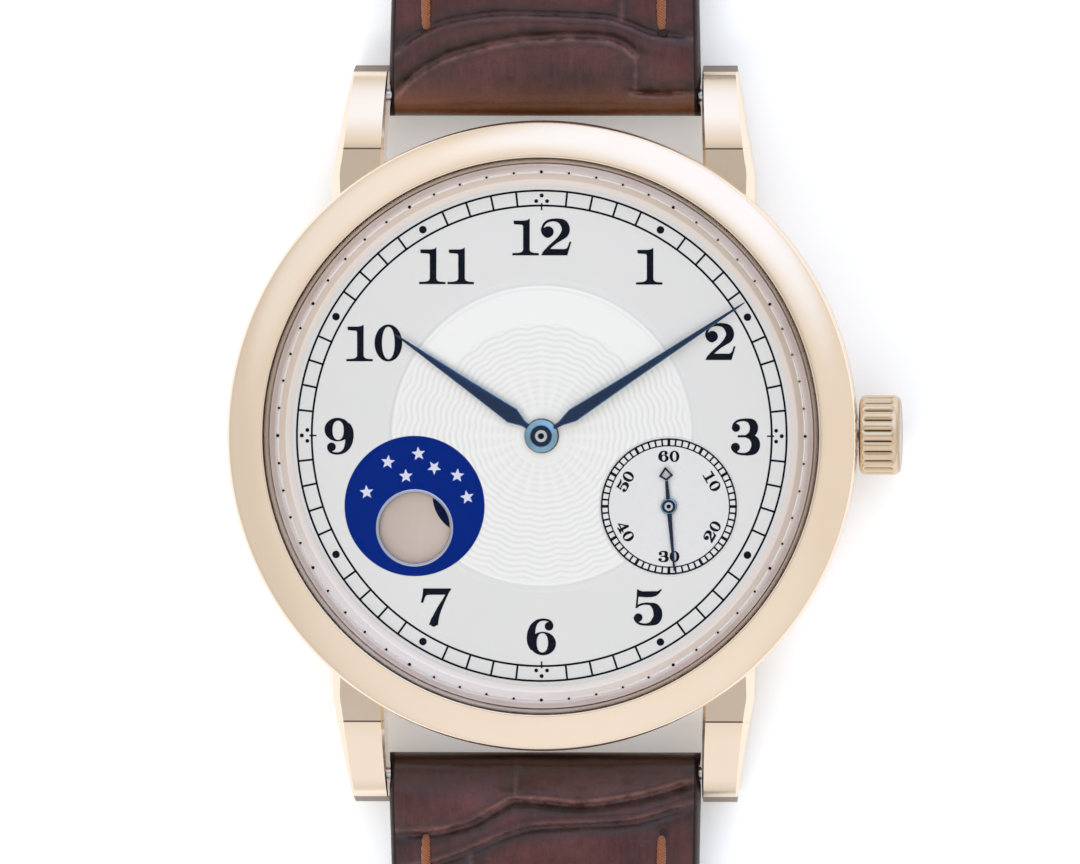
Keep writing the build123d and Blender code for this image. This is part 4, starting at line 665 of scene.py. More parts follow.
class Glyph:
    """Union of variable strokes, discs and polygons, minus holes, as one distance field."""

    def __init__(self, width):
        self.w = width
        self.items, self.holes = [], []

    def stroke(self, path, widths):
        path = np.asarray(path, float)
        s = np.r_[0, np.cumsum(np.linalg.norm(np.diff(path, axis=0), axis=1))]
        s /= s[-1]
        w = np.interp(s, np.linspace(0, 1, len(widths)), widths) / 2
        self.items.append(("s", path, w))
        return self

    def disc(self, c, r):
        self.items.append(("d", np.asarray(c, float), r))
        return self

    def poly(self, pts, hole=False):
        (self.holes if hole else self.items).append(("p", np.asarray(pts, float), 0))
        return self

    @staticmethod
    def _poly(P, pts):
        d = np.full(P.shape[:-1], 1e9)
        inside = np.zeros(P.shape[:-1], bool)
        n = len(pts)
        for i in range(n):
            a, b = pts[i], pts[(i + 1) % n]
            d = np.minimum(d, seg_dist(P, a, b))
            cond = (a[1] > P[..., 1]) != (b[1] > P[..., 1])
            dy = b[1] - a[1] if abs(b[1] - a[1]) > 1e-12 else 1e-12
            xi = (b[0] - a[0]) * (P[..., 1] - a[1]) / dy + a[0]
            inside ^= cond & (P[..., 0] < xi)
        return np.where(inside, -d, d)

    def field(self, P):
        f = np.full(P.shape[:-1], 1e9)
        for kind, a, b in self.items:
            if kind == "s":
                for q, r in zip(a, b):
                    f = np.minimum(f, np.linalg.norm(P - q, axis=-1) - r)
            elif kind == "d":
                f = np.minimum(f, np.linalg.norm(P - a, axis=-1) - b)
            else:
                f = np.minimum(f, self._poly(P, a))
        for kind, a, b in self.holes:
            f = np.maximum(f, -self._poly(P, a))
        return f

    def loops(self, step=0.0125, grow=0.0):
        xs = np.arange(-0.06, self.w + 0.06, step)
        ys = np.arange(-0.06, 1.06, step)
        X, Y = np.meshgrid(xs, ys, indexing="ij")
        F = self.field(np.stack([X, Y], -1)) - grow
        F = np.where(np.abs(F) < 1e-9, 1e-9, F)
        nx, ny = F.shape
        segs = {}

        def cut(i0, j0, i1, j1):
            a, b = F[i0, j0], F[i1, j1]
            t = a / (a - b)
            return (xs[i0] + (xs[i1] - xs[i0]) * t, ys[j0] + (ys[j1] - ys[j0]) * t)

        sign = F < 0
        pts = {}
        nxt = {}
        any_in = sign[:-1, :-1].astype(int) + sign[1:, :-1] + sign[1:, 1:] + sign[:-1, 1:]
        for i, j in zip(*np.nonzero((any_in > 0) & (any_in < 4))):
            c = [(i, j), (i + 1, j), (i + 1, j + 1), (i, j + 1)]
            s = [sign[p] for p in c]
            keys = []
            for k in range(4):
                p, q = c[k], c[(k + 1) % 4]
                if s[k] != s[(k + 1) % 4]:
                    key = (min(p, q), max(p, q))
                    if key not in pts:
                        pts[key] = cut(*key[0], *key[1])
                    keys.append((key, s[k]))
            outs = [k for k, inside in keys if inside]
            ins = [k for k, inside in keys if not inside]
            if len(outs) == 1:
                nxt.setdefault(ins[0], []).append(outs[0])
            else:
                nxt.setdefault(ins[0], []).append(outs[0])
                nxt.setdefault(ins[1], []).append(outs[1])
        loops = []
        while nxt:
            start = next(iter(nxt))
            loop, k = [], start
            while k in nxt:
                n2 = nxt[k].pop()
                if not nxt[k]:
                    del nxt[k]
                loop.append(pts[k])
                k = n2
                if k == start:
                    break
            if len(loop) > 5:
                loops.append(loop)
        return loops


def make_glyphs():
    g = {}
    H = 0.035
    # one
    q = Glyph(0.74)
    q.poly([(0.31, 0.03), (0.31, 0.80), (0.285, 0.845), (0.05, 0.862), (0.045, 0.945), (0.33, 0.945), (0.43, 0.965), (0.475, 1.0), (0.475, 0.03)])
    q.poly([(0.01, 0.0), (0.73, 0.0), (0.73, 0.045), (0.60, 0.052), (0.52, 0.075), (0.475, 0.13), (0.31, 0.13), (0.26, 0.075), (0.17, 0.052),
            (0.01, 0.045)])
    g["1"] = q
    # two
    q = Glyph(0.84)
    q.stroke(np.vstack([bez((0.045, 0.70), (0.05, 0.86), (0.16, 0.97), (0.36, 0.972)), bez((0.36, 0.972), (0.56, 0.975), (0.69, 0.88), (0.695, 0.71)),
                        bez((0.695, 0.71), (0.70, 0.50), (0.36, 0.40), (0.10, 0.06))[1:]]),
             [0.05, 0.05, 0.055, 0.06, 0.10, 0.19, 0.21, 0.20, 0.13, 0.09, 0.08, 0.08, 0.09])
    q.disc((0.205, 0.645), 0.145)
    q.stroke(bez((0.04, 0.74), (0.03, 0.62), (0.12, 0.52), (0.21, 0.53)), [0.05, 0.07, 0.09])
    q.poly([(0.02, 0.0), (0.73, 0.0), (0.84, 0.365), (0.80, 0.365), (0.775, 0.27), (0.735, 0.19), (0.67, 0.16), (0.20, 0.16), (0.10, 0.13)])
    g["2"] = q
    # three
    q = Glyph(0.80)
    q.stroke(np.vstack([bez((0.06, 0.80), (0.09, 0.92), (0.20, 0.975), (0.36, 0.975)), bez((0.36, 0.975), (0.52, 0.975), (0.635, 0.90), (0.635, 0.76)),
                        bez((0.635, 0.76), (0.635, 0.62), (0.55, 0.54), (0.40, 0.525))]),
             [0.045, 0.045, 0.05, 0.055, 0.10, 0.19, 0.215, 0.20, 0.12, 0.045])
    q.stroke(np.vstack([bez((0.40, 0.52), (0.60, 0.515), (0.685, 0.42), (0.685, 0.29)), bez((0.685, 0.29), (0.685, 0.12), (0.54, 0.025), (0.36, 0.025)),
                        bez((0.36, 0.025), (0.18, 0.025), (0.06, 0.09), (0.035, 0.20))]),
             [0.045, 0.12, 0.21, 0.23, 0.21, 0.11, 0.055, 0.045, 0.045, 0.045])
    q.stroke(bez((0.21, 0.52), (0.42, 0.522)), [0.045, 0.045])
    q.disc((0.135, 0.755), 0.105).disc((0.12, 0.215), 0.115)
    g["3"] = q
    # four
    q = Glyph(0.80)
    q.poly([(0.46, 0.03), (0.46, 0.80), (0.50, 1.0), (0.625, 1.0), (0.625, 0.03)])
    q.stroke(bez((0.56, 0.96), (0.035, 0.285)), [0.06, 0.05])
    q.stroke(bez((0.03, 0.27), (0.77, 0.27)), [0.06, 0.06])
    q.poly([(0.28, 0.0), (0.80, 0.0), (0.80, 0.05), (0.68, 0.07), (0.625, 0.13), (0.46, 0.13), (0.40, 0.07), (0.28, 0.05)])
    g["4"] = q
    # five
    q = Glyph(0.78)
    q.poly([(0.115, 0.99), (0.13, 0.965), (0.25, 0.935), (0.66, 0.94), (0.765, 1.0), (0.775, 0.99), (0.70, 0.89), (0.62, 0.825), (0.50, 0.79),
            (0.36, 0.785), (0.15, 0.80), (0.115, 0.79)])
    q.stroke(bez((0.118, 0.97), (0.105, 0.80), (0.082, 0.52)), [0.04, 0.035, 0.04])
    q.stroke(np.vstack([bez((0.075, 0.50), (0.16, 0.585), (0.27, 0.605), (0.38, 0.60)), bez((0.38, 0.60), (0.58, 0.59), (0.67, 0.46), (0.67, 0.30)),
                        bez((0.67, 0.30), (0.67, 0.12), (0.50, 0.022), (0.32, 0.022)), bez((0.32, 0.022), (0.14, 0.022), (0.04, 0.10), (0.025, 0.21))]),
             [0.04, 0.04, 0.045, 0.06, 0.17, 0.225, 0.23, 0.21, 0.10, 0.05, 0.045, 0.045, 0.045])
    q.disc((0.125, 0.215), 0.108)
    g["5"] = q
    # zero

    def ellipse(cx, cy, rx, ry, n=72, p=2.0):
        a = np.linspace(0, 2 * math.pi, n, endpoint=False)
        c, s = np.cos(a), np.sin(a)
        return np.stack([cx + rx * np.sign(c) * np.abs(c) ** (2 / p), cy + ry * np.sign(s) * np.abs(s) ** (2 / p)], -1)

    q = Glyph(0.76)
    q.poly(ellipse(0.38, 0.5, 0.375, 0.505))
    q.poly(ellipse(0.38, 0.5, 0.185, 0.458, p=2.15), hole=True)
    g["0"] = q
    # nine
    q = Glyph(0.79)
    q.poly(ellipse(0.36, 0.685, 0.355, 0.318))
    q.stroke(np.vstack([bez((0.66, 0.80), (0.72, 0.60), (0.70, 0.30), (0.60, 0.16)), bez((0.60, 0.16), (0.53, 0.06), (0.45, 0.022), (0.34, 0.022)),
                        bez((0.34, 0.022), (0.20, 0.022), (0.11, 0.08), (0.10, 0.19))]),
             [0.12, 0.20, 0.215, 0.20, 0.16, 0.10, 0.055, 0.045, 0.045, 0.045])
    q.poly(ellipse(0.375, 0.665, 0.165, 0.275, p=2.2), hole=True)
    q.disc((0.19, 0.205), 0.112)
    g["9"] = q
    # six is a nine turned half round
    s = Glyph(0.79)
    s.items = []
    for kind, a, b in q.items:
        if kind == "s":
            s.items.append((kind, np.array([0.79, 1.0]) - a, b))
        else:
            s.items.append((kind, np.array([0.79, 1.0]) - a, b))
    s.holes = [(k, np.array([0.79, 1.0]) - a, b) for k, a, b in q.holes]
    g["6"] = s
    # seven
    q = Glyph(0.83)
    q.poly([(0.065, 1.0), (0.83, 1.0), (0.81, 0.955), (0.775, 0.94), (0.735, 0.865), (0.70, 0.85), (0.60, 0.84), (0.24, 0.84), (0.14, 0.825),
            (0.095, 0.75), (0.055, 0.62), (0.0, 0.62), (0.045, 0.80)])
    q.stroke(np.vstack([bez((0.78, 0.97), (0.72, 0.86), (0.62, 0.66)), bez((0.62, 0.66), (0.47, 0.40), (0.35, 0.05))]),
             [0.05, 0.05, 0.07, 0.10, 0.13, 0.16, 0.19])
    q.poly([(0.225, 0.0), (0.465, 0.0), (0.47, 0.10), (0.50, 0.22), (0.30, 0.20)])
    g["7"] = q
    return g


GLYPHS = make_glyphs()
GLYPH_LOOPS = {}


def glyph_loops(ch, grow):
    if (ch, grow) not in GLYPH_LOOPS:
        GLYPH_LOOPS[ch, grow] = GLYPHS[ch].loops(grow=grow)
    return GLYPH_LOOPS[ch, grow]


def put_number(solid, text, centre, height, z0, z1, turn=0.0, gap=0.05, grow=0.0, stretch=1.0):
    """Adds a number to a Solid: upright at turn 0, centred."""
    total = sum(GLYPHS[c].w for c in text) + gap * (len(text) - 1)
    x = -total / 2
    ca, sa = math.cos(turn), math.sin(turn)
    for ch in text:
        loops = glyph_loops(ch, grow)
        flat, rings = [], []
        for lp in loops:
            pts = []
            for px, py in lp:
                u, v = (x + px) * height * stretch, (py - 0.5) * height
                pts.append((centre[0] + ca * u - sa * v, centre[1] + sa * u + ca * v))
            rings.append(pts)
            flat += pts
        tris = tessellate_polygon([[Vector((a, b, 0)) for a, b in r] for r in rings])
        n = len(flat)
        v = [(a, b, z0) for a, b in flat] + [(a, b, z1) for a, b in flat]
        f = []
        for t in tris:
            a, b, c = (flat[i] for i in t)
            up = (b[0] - a[0]) * (c[1] - a[1]) - (b[1] - a[1]) * (c[0] - a[0]) > 0
            t = tuple(t) if up else tuple(t)[::-1]
            f.append(tuple(n + i for i in t))
            f.append(t[::-1])
        k = 0
        for r in rings:
            m = len(r)
            area = sum(r[i][0] * r[(i + 1) % m][1] - r[(i + 1) % m][0] * r[i][1] for i in range(m))
            for i in range(m):
                j = (i + 1) % m
                quad = (k + i, k + j, n + k + j, n + k + i)
                f.append(quad)
            k += m
        solid.add(v, f)
        x += GLYPHS[ch].w + gap
    return solid


# ------------------------------------------------------------------ dial
DIAL_Z = 5.85
SUB = (7.27, -4.02)
SKY = (-7.27, -4.02)
WIN = (-7.27, -5.27)


def smooth(x, a, b):
    t = np.clip((x - a) / (b - a), 0, 1)
    return t * t * (3 - 2 * t)


def dial_height(r, th):
    """Relief of the dial face in mm: engine turning inside a smooth rim."""
    amp = 0.25 * np.clip((r - 1.5) / 6.6, 0, 1) ** 1.2
    s = np.sqrt(np.cos(12 * (th - math.radians(270))) ** 2 + 0.010)
    rho = r - amp * s
    cut = 0.0064 * np.cos(2 * math.pi * rho / 0.33) * (0.45 + 0.55 * smooth(r, 2.0, 4.5))
    cut = cut + (0.0030 * np.cos(24 * th) + 0.0012 * np.cos(48 * th + 0.6)) * np.exp(-((r - 2.2) / 1.5) ** 2)
    inside = smooth(r, 1.15, 1.8) * (1 - smooth(r, 8.24, 8.34))
    deg = np.degrees(th) % 360
    band = smooth(r, 6.42, 6.50) * smooth(deg, 36.0, 37.5) * (1 - smooth(deg, 142.5, 144.0))
    h = cut * inside * (1 - band)
    h += -0.012 * inside * (1 - band)
    h += 0.006 * np.cos(180 * th) * np.exp(-((r - 8.40) / 0.09) ** 4)
    h += -0.050 * np.exp(-((r - 8.58) / 0.075) ** 2)
    h += 0.030 * np.exp(-((r - 8.80) / 0.12) ** 4)
    return h


def build_dial():
    rad = np.concatenate([np.arange(1.0, 8.36, 0.043), np.arange(8.38, 9.06, 0.04), np.array([9.2, 10.0, 11.5, 12.6, 13.6, 14.4, 15.0, 15.5])])
    segs = 720
    th = np.linspace(0, 2 * math.pi, segs, endpoint=False)
    R, T = np.meshgrid(rad, th, indexing="ij")
    Z = DIAL_Z + dial_height(R, T)
    top = np.stack([R * np.cos(T), R * np.sin(T), Z], -1)
    bot = top[[0, -1]].copy()
    bot[..., 2] = 5.46
    rows = np.concatenate([top, bot[1:2], bot[0:1]], 0)
    n = len(rows)
    # ridge follows the relief height and drives the painted highlight on crests and the painted shade in valleys
    ridge = np.full((n, segs), 0.5)
    ridge[:len(rad)] = np.clip(0.5 + (Z - DIAL_Z + 0.012 * (R < 8.3)) / 0.0180, 0, 1)
    ridge[:len(rad)][R > 8.34] = 0.5
    verts = rows.reshape(-1, 3)
    i, j = np.meshgrid(np.arange(n), np.arange(segs), indexing="ij")
    i2, j2 = (i + 1) % n, (j + 1) % segs
    quads = np.stack([i * segs + j, i2 * segs + j, i2 * segs + j2, i * segs + j2], -1).reshape(-1, 4)
    me = quad_mesh("dial_face", verts, quads)
    at = me.attributes.new("ridge", "FLOAT", "POINT")
    at.data.foreach_set("value", ridge.ravel().astype(np.float32))
    inner = (rad[:-1] < 8.52)
    idx = np.zeros((n, segs), dtype=np.int32)
    idx[:len(rad) - 1][inner] = 1
    o = link_mesh("dial_face", me, [m_dial, m_guil_painted_shading], "case", True, ("dial",))
    me.polygons.foreach_set("material_index", idx.ravel())
    cut(o, [cylinder_cutter((SUB[0], SUB[1], 0), 3.93, 5.775, 6.4, 200), cylinder_cutter((SKY[0], SKY[1], 0), 4.008, 5.0, 6.4, 240)])
    o.data.set_sharp_from_angle(angle=math.radians(40))
    return o


def cylinder_cutter(c, r, z0, z1, segs=96):
    s = Solid()
    pts = [(c[0] + r * math.cos(2 * math.pi * i / segs), c[1] + r * math.sin(2 * math.pi * i / segs)) for i in range(segs)]
    v = [(a, b, z0) for a, b in pts] + [(a, b, z1) for a, b in pts]
    f = [(i, (i + 1) % segs, segs + (i + 1) % segs, segs + i) for i in range(segs)]
    f += [tuple(range(segs))[::-1], tuple(range(segs, 2 * segs))]
    s.add(v, f)
    return s


def cut(o, solids):
    """Subtracts closed shapes from a mesh object and applies the result."""
    temps = []
    for s in solids:
        me = s.mesh("cutter")
        c = bpy.data.objects.new("cutter", me)
        scene.collection.objects.link(c)
        temps.append(c)
        mod = o.modifiers.new("cut", "BOOLEAN")
        mod.operation = "DIFFERENCE"
        mod.object = c
        mod.solver = "MANIFOLD"
    dg = bpy.context.evaluated_depsgraph_get()
    dg.update()
    new = bpy.data.meshes.new_from_object(o.evaluated_get(dg))
    if len(new.polygons) < 10:
        for mod in o.modifiers:
            mod.solver = "EXACT"
        dg = bpy.context.evaluated_depsgraph_get()
        dg.update()
        new = bpy.data.meshes.new_from_object(o.evaluated_get(dg))
    o.modifiers.clear()
    old = o.data
    name = old.name
    o.data = new
    bpy.data.meshes.remove(old)
    new.name = name
    for c in temps:
        me = c.data
        bpy.data.objects.remove(c)
        bpy.data.meshes.remove(me)


dial_face = build_dial()

# sunk seconds dial with fine concentric turning
rr = np.arange(0.42, 3.42, 0.03)
zz = 5.782 + 0.0035 * np.cos(2 * math.pi * rr / 0.12)
prof = [(0.42, 5.70)] + [(3.925, 5.70), (3.925, 5.786), (3.44, 5.786)] + [(float(a), float(b)) for a, b in zip(rr[::-1], zz[::-1])]
link_mesh("seconds_dial", lathe_mesh("seconds_dial", prof, 200, SUB), m_sec, "case", True, (), 50)

track = Solid()
Z0, Z1 = DIAL_Z - 0.004, DIAL_Z + 0.012
track.ring((0, 0), 13.94, 14.055, Z0, Z1, 360)
track.ring((0, 0), 13.09, 13.205, Z0, Z1, 360)
for k in range(60):
    if k % 5:
        p = polar(13.575, 6 * k)
        track.box(p, math.radians(90 - 6 * k), 0.80, 0.115, Z0, Z1)
for h in range(12):
    ck = 30 * h
    if h % 3:
        track.dot(polar(13.58, ck), 0.215, Z0, Z1 + 0.02)
    else:
        track.dot(polar(13.72, ck), 0.115, Z0, Z1 + 0.015, 20)
        for s in (-1, 1):
            base = polar(13.40, ck)
            a = math.radians(-ck)
            track.dot((base[0] + s * 0.31 * math.cos(a), base[1] + s * 0.31 * math.sin(a)), 0.110, Z0, Z1 + 0.015, 20)
        track.box(polar(13.08, ck), math.radians(90 - ck), 0.40, 0.085, Z0, Z1 + 0.003)
link_mesh("minute_track", track.mesh("minute_track"), m_ink, "case", False, ())

hours = Solid()
NUM_H = 2.06
for text, pos in (("12", (0.0, 11.35)), ("1", (6.15, 9.69)), ("2", (10.2, 5.39)), ("3", (11.65, -0.05)), ("5", (6.07, -9.78)), ("6", (0.0, -11.48)),
                  ("7", (-6.04, -9.77)), ("9", (-11.6, -0.04)), ("10", (-9.58, 5.29)), ("11", (-5.44, 9.70))):
    put_number(hours, text, pos, NUM_H, DIAL_Z - 0.004, DIAL_Z + 0.020, 0.0, 0.05, 0.008)
link_mesh("hour_numerals", hours.mesh("hour_numerals"), m_ink_num, "case", False, ())

sub = Solid()
S0, S1 = 5.780, 5.797
sub.ring(SUB, 3.795, 3.88, S0, S1, 240)
sub.ring(SUB, 3.43, 3.50, S0, S1, 240)
for k in range(60):
    p = polar(3.66, 6 * k)
    sub.box((SUB[0] + p[0], SUB[1] + p[1]), math.radians(90 - 6 * k), 0.34, 0.165 if k % 5 == 0 else 0.100, S0, S1)
for text, ck, turn in (("60", 0, 0), ("10", 60, -60), ("20", 120, 60), ("30", 180, 0), ("40", 240, -60), ("50", 300, 60)):
    p = polar(2.86, ck)
    put_number(sub, text, (SUB[0] + p[0], SUB[1] + p[1]), 0.60, S0, S1 + 0.003, math.radians(turn), 0.12, 0.03, 1.16)
link_mesh("seconds_markings", sub.mesh("seconds_markings"), m_ink, "case", False, ())

# thin bright step round the sunk seconds dial
link_mesh("seconds_rim", lathe_mesh("seconds_rim", [(3.89, 5.80), (3.98, 5.80), (4.0, 5.856), (3.955, 5.868), (3.91, 5.856)], 200, SUB), m_dial,
          "case", True, ())

# ------------------------------------------------------------------ sky plate, stars and moon
stars = Solid()
for sx, sy, tilt in ((-2.74, 0.79, 4), (-1.52, 2.51, -6), (-0.49, 1.71, 2), (0.23, 2.99, 5), (1.13, 2.20, 36), (2.45, 1.75, -4), (3.01, 0.51, 10)):
    c = (SKY[0] + sx, SKY[1] + sy)
    ring = []
    for k in range(10):
        a = math.radians(90 + tilt + 36 * k)
        r = 0.41 if k % 2 == 0 else 0.178
        ring.append((c[0] + r * math.cos(a), c[1] + r * math.sin(a)))
    v = [(a, b, 5.852) for a, b in ring] + [(a, b, 5.876) for a, b in ring] + [(c[0], c[1], 5.892), (c[0], c[1], 5.852)]
    f = [(i, (i + 1) % 10, 10 + (i + 1) % 10, 10 + i) for i in range(10)]
    f += [(10 + i, 10 + (i + 1) % 10, 20) for i in range(10)]
    f += [((i + 1) % 10, i, 21) for i in range(10)]
    stars.add(v, f)
link_mesh("sky_stars", stars.mesh("sky_stars"), m_star, "case", False, ())

moon_at = (WIN[0] + 3.2 * math.cos(math.radians(82)), WIN[1] + 3.2 * math.sin(math.radians(82)))
MOON = np.array(moon_at)
shade = Solid()
for ang in (335.3, 155.3):
    c = (moon_at[0] + 3.12 * math.cos(math.radians(ang)), moon_at[1] + 3.12 * math.sin(math.radians(ang)))
    shade.dot(c, 2.28, 5.396, 5.418, 120, 0.4)
link_mesh("moon_shadows", shade.mesh("moon_shadows"), m_navy, "moon_body", True, (), 40)


link_mesh("moon_window_bevel", lathe_mesh("moon_window_bevel", [(2.005, 5.50), (2.03, 5.50), (2.035, 5.855), (2.20, 5.855), (2.205, 5.862), (2.17, 5.878), (2.12, 5.890),
                                                                (2.07, 5.888), (2.03, 5.86), (2.005, 5.78)], 180, WIN), m_window, "case", True,
          ("moon_window_ring",), 50)

# ------------------------------------------------------------------ hands
def hand_mesh(name, profile, clock, centre, z_edge, z_ridge, z_base, body, replace):
    """Faceted hand: a ridge along the middle, falling to narrow polished bevels that are given a paler blue as a
    painted highlight.
    """
    s = Solid()
    a = math.radians(90 - clock)
    ca, sa = math.cos(a), math.sin(a)

    def place(d, w, z):
        return (centre[0] + ca * d - sa * w, centre[1] + sa * d + ca * w, z)

    rows = []
    for d, w, lift in profile:
        bev = min(0.045, 0.20 * w)
        zr = z_edge + 0.014 + (z_ridge - z_edge - 0.014) * lift
        rows.append([place(d, w, z_base), place(d, w, z_edge - 0.006), place(d, w - bev, z_edge + 0.014), place(d, w * 0.05, zr), place(d, -w * 0.05, zr),
                     place(d, -w + bev, z_edge + 0.014), place(d, -w, z_edge - 0.006), place(d, -w, z_base)])
    v = [p for r in rows for p in r]
    f, idx = [], []
    for i in range(len(rows) - 1):
        for j in range(8):
            k = (j + 1) % 8
            f.append((8 * i + j, 8 * i + k, 8 * (i + 1) + k, 8 * (i + 1) + j)[::-1])
            idx.append(1 if j in (1, 5) else 0)
    f.append(tuple(range(8)))
    f.append(tuple(8 * (len(rows) - 1) + j for j in range(8))[::-1])
    idx += [0, 0]
    s.add(v, f)
    me = s.mesh(name)
    me.polygons.foreach_set("material_index", np.asarray(idx, dtype=np.int32))
    bm = bmesh.new()
    bm.from_mesh(me)
    bmesh.ops.recalc_face_normals(bm, faces=bm.faces)
    bm.to_mesh(me)
    bm.free()
    return link_mesh(name, me, [m_blued, m_blued_bevel_painted_highlight], body, False, replace)


hand_mesh("hour_hand_blade", [(0.60, 0.30, 0.6), (1.02, 0.17, 0.5), (1.30, 0.21, 0.6), (2.03, 0.49, 1.0), (2.5, 0.455, 1.0), (5.0, 0.315, 0.9),
                              (8.0, 0.158, 0.7), (9.7, 0.068, 0.4), (10.18, 0.026, 0.1)], 304.7, (0, 0), 6.125, 6.215, 6.10, "hour_works",
          ("hour_hand",))
hand_mesh("minute_hand_blade", [(0.60, 0.26, 0.6), (1.02, 0.125, 0.5), (1.35, 0.17, 0.6), (2.17, 0.41, 1.0), (2.7, 0.385, 1.0), (6.0, 0.27, 0.9),
                                (10.5, 0.148, 0.7), (13.3, 0.068, 0.4), (13.9, 0.03, 0.1)], 56.7, (0, 0), 6.30, 6.385, 6.27, "minute_works",
          ("minute_hand",))


def boss(name, profile, bevel_rows, body, at=(0, 0)):
    """Turned boss; the listed profile edges are the polished bevel, given a paler blue as a painted highlight."""
    me = lathe_mesh(name, profile, 120, at)
    idx = np.zeros(len(me.polygons), dtype=np.int32).reshape(120, len(profile))
    idx[:, list(bevel_rows)] = 1
    o = link_mesh(name, me, [m_blued, m_blued_bevel_painted_highlight], body, True, (), 12)
    me.polygons.foreach_set("material_index", idx.ravel())
    return o


boss("hour_hand_boss", [(0.60, 6.09), (0.97, 6.09), (0.97, 6.15), (0.93, 6.19), (0.66, 6.22), (0.60, 6.20)], (2, 3), "hour_works")
boss("minute_hand_boss", [(0.34, 6.262), (0.925, 6.262), (0.94, 6.285), (0.915, 6.32), (0.62, 6.435), (0.58, 6.446), (0.40, 6.450), (0.34, 6.446)], (2, 3),
     "minute_works")

# seconds hand with an open lozenge behind
sec = Solid()
a = math.radians(90 - 175.0)
ca, sa = math.cos(a), math.sin(a)


def sp(d, w, z):
    return (SUB[0] + ca * d - sa * w, SUB[1] + sa * d + ca * w, z)


def bar(d0, w0, d1, w1, z0=5.925, z1=5.985):
    v = []
    for d, w in ((d0, w0), (d1, w1)):
        v += [sp(d, w, z0), sp(d, w, z1 - 0.02), sp(d, 0.3 * w, z1), sp(d, -0.3 * w, z1), sp(d, -w, z1 - 0.02), sp(d, -w, z0)]
    f = [(j, (j + 1) % 6, 6 + (j + 1) % 6, 6 + j)[::-1] for j in range(6)] + [tuple(range(6)), tuple(range(6, 12))[::-1]]
    sec.add(v, f)


bar(0.40, 0.13, 3.69, 0.05)
bar(-1.46, 0.085, -0.40, 0.12)
diamond = [(-1.47, 0.0), (-1.76, 0.41), (-2.28, 0.0), (-1.76, -0.41)]
inner = [(-1.60, 0.0), (-1.79, 0.245), (-2.09, 0.0), (-1.79, -0.245)]
v = [sp(d, w, 5.925) for d, w in diamond] + [sp(d, w, 5.985) for d, w in diamond] + [sp(d, w, 5.925) for d, w in inner] + [sp(d, w, 5.985) for d, w in inner]
f = []
for i in range(4):
    j = (i + 1) % 4
    f += [(i, j, 4 + j, 4 + i), (8 + j, 8 + i, 12 + i, 12 + j), (4 + i, 4 + j, 12 + j, 12 + i), (j, i, 8 + i, 8 + j)]
sec.add(v, f)
me = sec.mesh("seconds_hand_blade")
bm = bmesh.new()
bm.from_mesh(me)
bmesh.ops.recalc_face_normals(bm, faces=bm.faces)
bm.to_mesh(me)
bm.free()
link_mesh("seconds_hand_blade", me, m_blued, "seconds_works", False, ("seconds_hand",))
boss("seconds_hand_boss", [(0.26, 5.92), (0.46, 5.92), (0.465, 5.94), (0.44, 5.965), (0.385, 5.995), (0.28, 6.0), (0.26, 5.99)], (2, 3), "seconds_works", SUB)


def pin_cap(name, r, z0, z1, body, at=(0, 0)):
    """Polished pin end with a deep drilled centre, lined with black ink as painted shade."""
    prof = [(0.004, z0), (r, z0), (r, z1 - 0.05), (r * 0.93, z1 - 0.012), (r * 0.80, z1), (r * 0.60, z1 - 0.004), (r * 0.50, z1 - 0.012), (r * 0.47, z1 - 0.040),
            (0.004, z1 - 0.042)]
    me = lathe_mesh(name, prof, 72, at)
    idx = np.zeros(len(me.polygons), dtype=np.int32).reshape(72, len(prof))
    # the drilled centre takes the black ink: painted shade
    idx[:, [6, 7, 8]] = 1
    o = link_mesh(name, me, [m_steel, m_ink], body, True, (), 30)
    me.polygons.foreach_set("material_index", idx.ravel())
    return o


pin_cap("centre_pin_cap", 0.36, 6.26, 6.492, "minute_works")
pin_cap("seconds_pin_cap", 0.255, 5.86, 6.068, "seconds_works", SUB)

# ------------------------------------------------------------------ flange, with a painted highlight line and painted reflections of the ticks on its lip
FLANGE = [(14.30, 5.856), (14.30, 5.868), (14.56, 5.905), (14.66, 5.935), (14.98, 6.115), (15.02, 6.132), (15.06, 6.136), (15.13, 6.136), (15.18, 6.142), (15.48, 6.262),
          (15.545, 6.275), (15.55, 6.25), (15.50, 5.87), (15.40, 5.856)]
me = lathe_mesh("flange_lip", FLANGE, 360)
idx = np.zeros(len(me.polygons), dtype=np.int32).reshape(360, len(FLANGE))
# edges 3 and 4, the steeper slope, take the darker tan: painted reflection
idx[:, [3, 4]] = 1
link_mesh("flange_lip", me, [m_gold_flange, m_flange_slope_painted_reflection], "case", True, ("flange_ring",), 24)
me.polygons.foreach_set("material_index", idx.ravel())


def flange_z(r):
    return float(np.interp(r, [14.98, 15.02, 15.06, 15.13, 15.18], [6.115, 6.132, 6.136, 6.136, 6.142]))


marks = Solid()
for k in range(60):
    a0 = math.radians(6 * k + 0.65)
    a1 = math.radians(6 * (k + 1) - 0.65)
    v, f = [], []
    n = 6
    for i in range(n + 1):
        a = a0 + (a1 - a0) * i / n
        for r, dz in ((15.005, -0.01), (15.14, -0.01), (15.14, 0.014), (15.005, 0.014)):
            v.append((r * math.sin(a), r * math.cos(a), flange_z(r) + dz))
    for i in range(n):
        for j in range(4):
            q = (j + 1) % 4
            f.append((4 * i + j, 4 * i + q, 4 * (i + 1) + q, 4 * (i + 1) + j))
    f += [(3, 2, 1, 0), tuple(4 * n + j for j in range(4))]
    marks.add(v, f)
me = marks.mesh("flange_line")
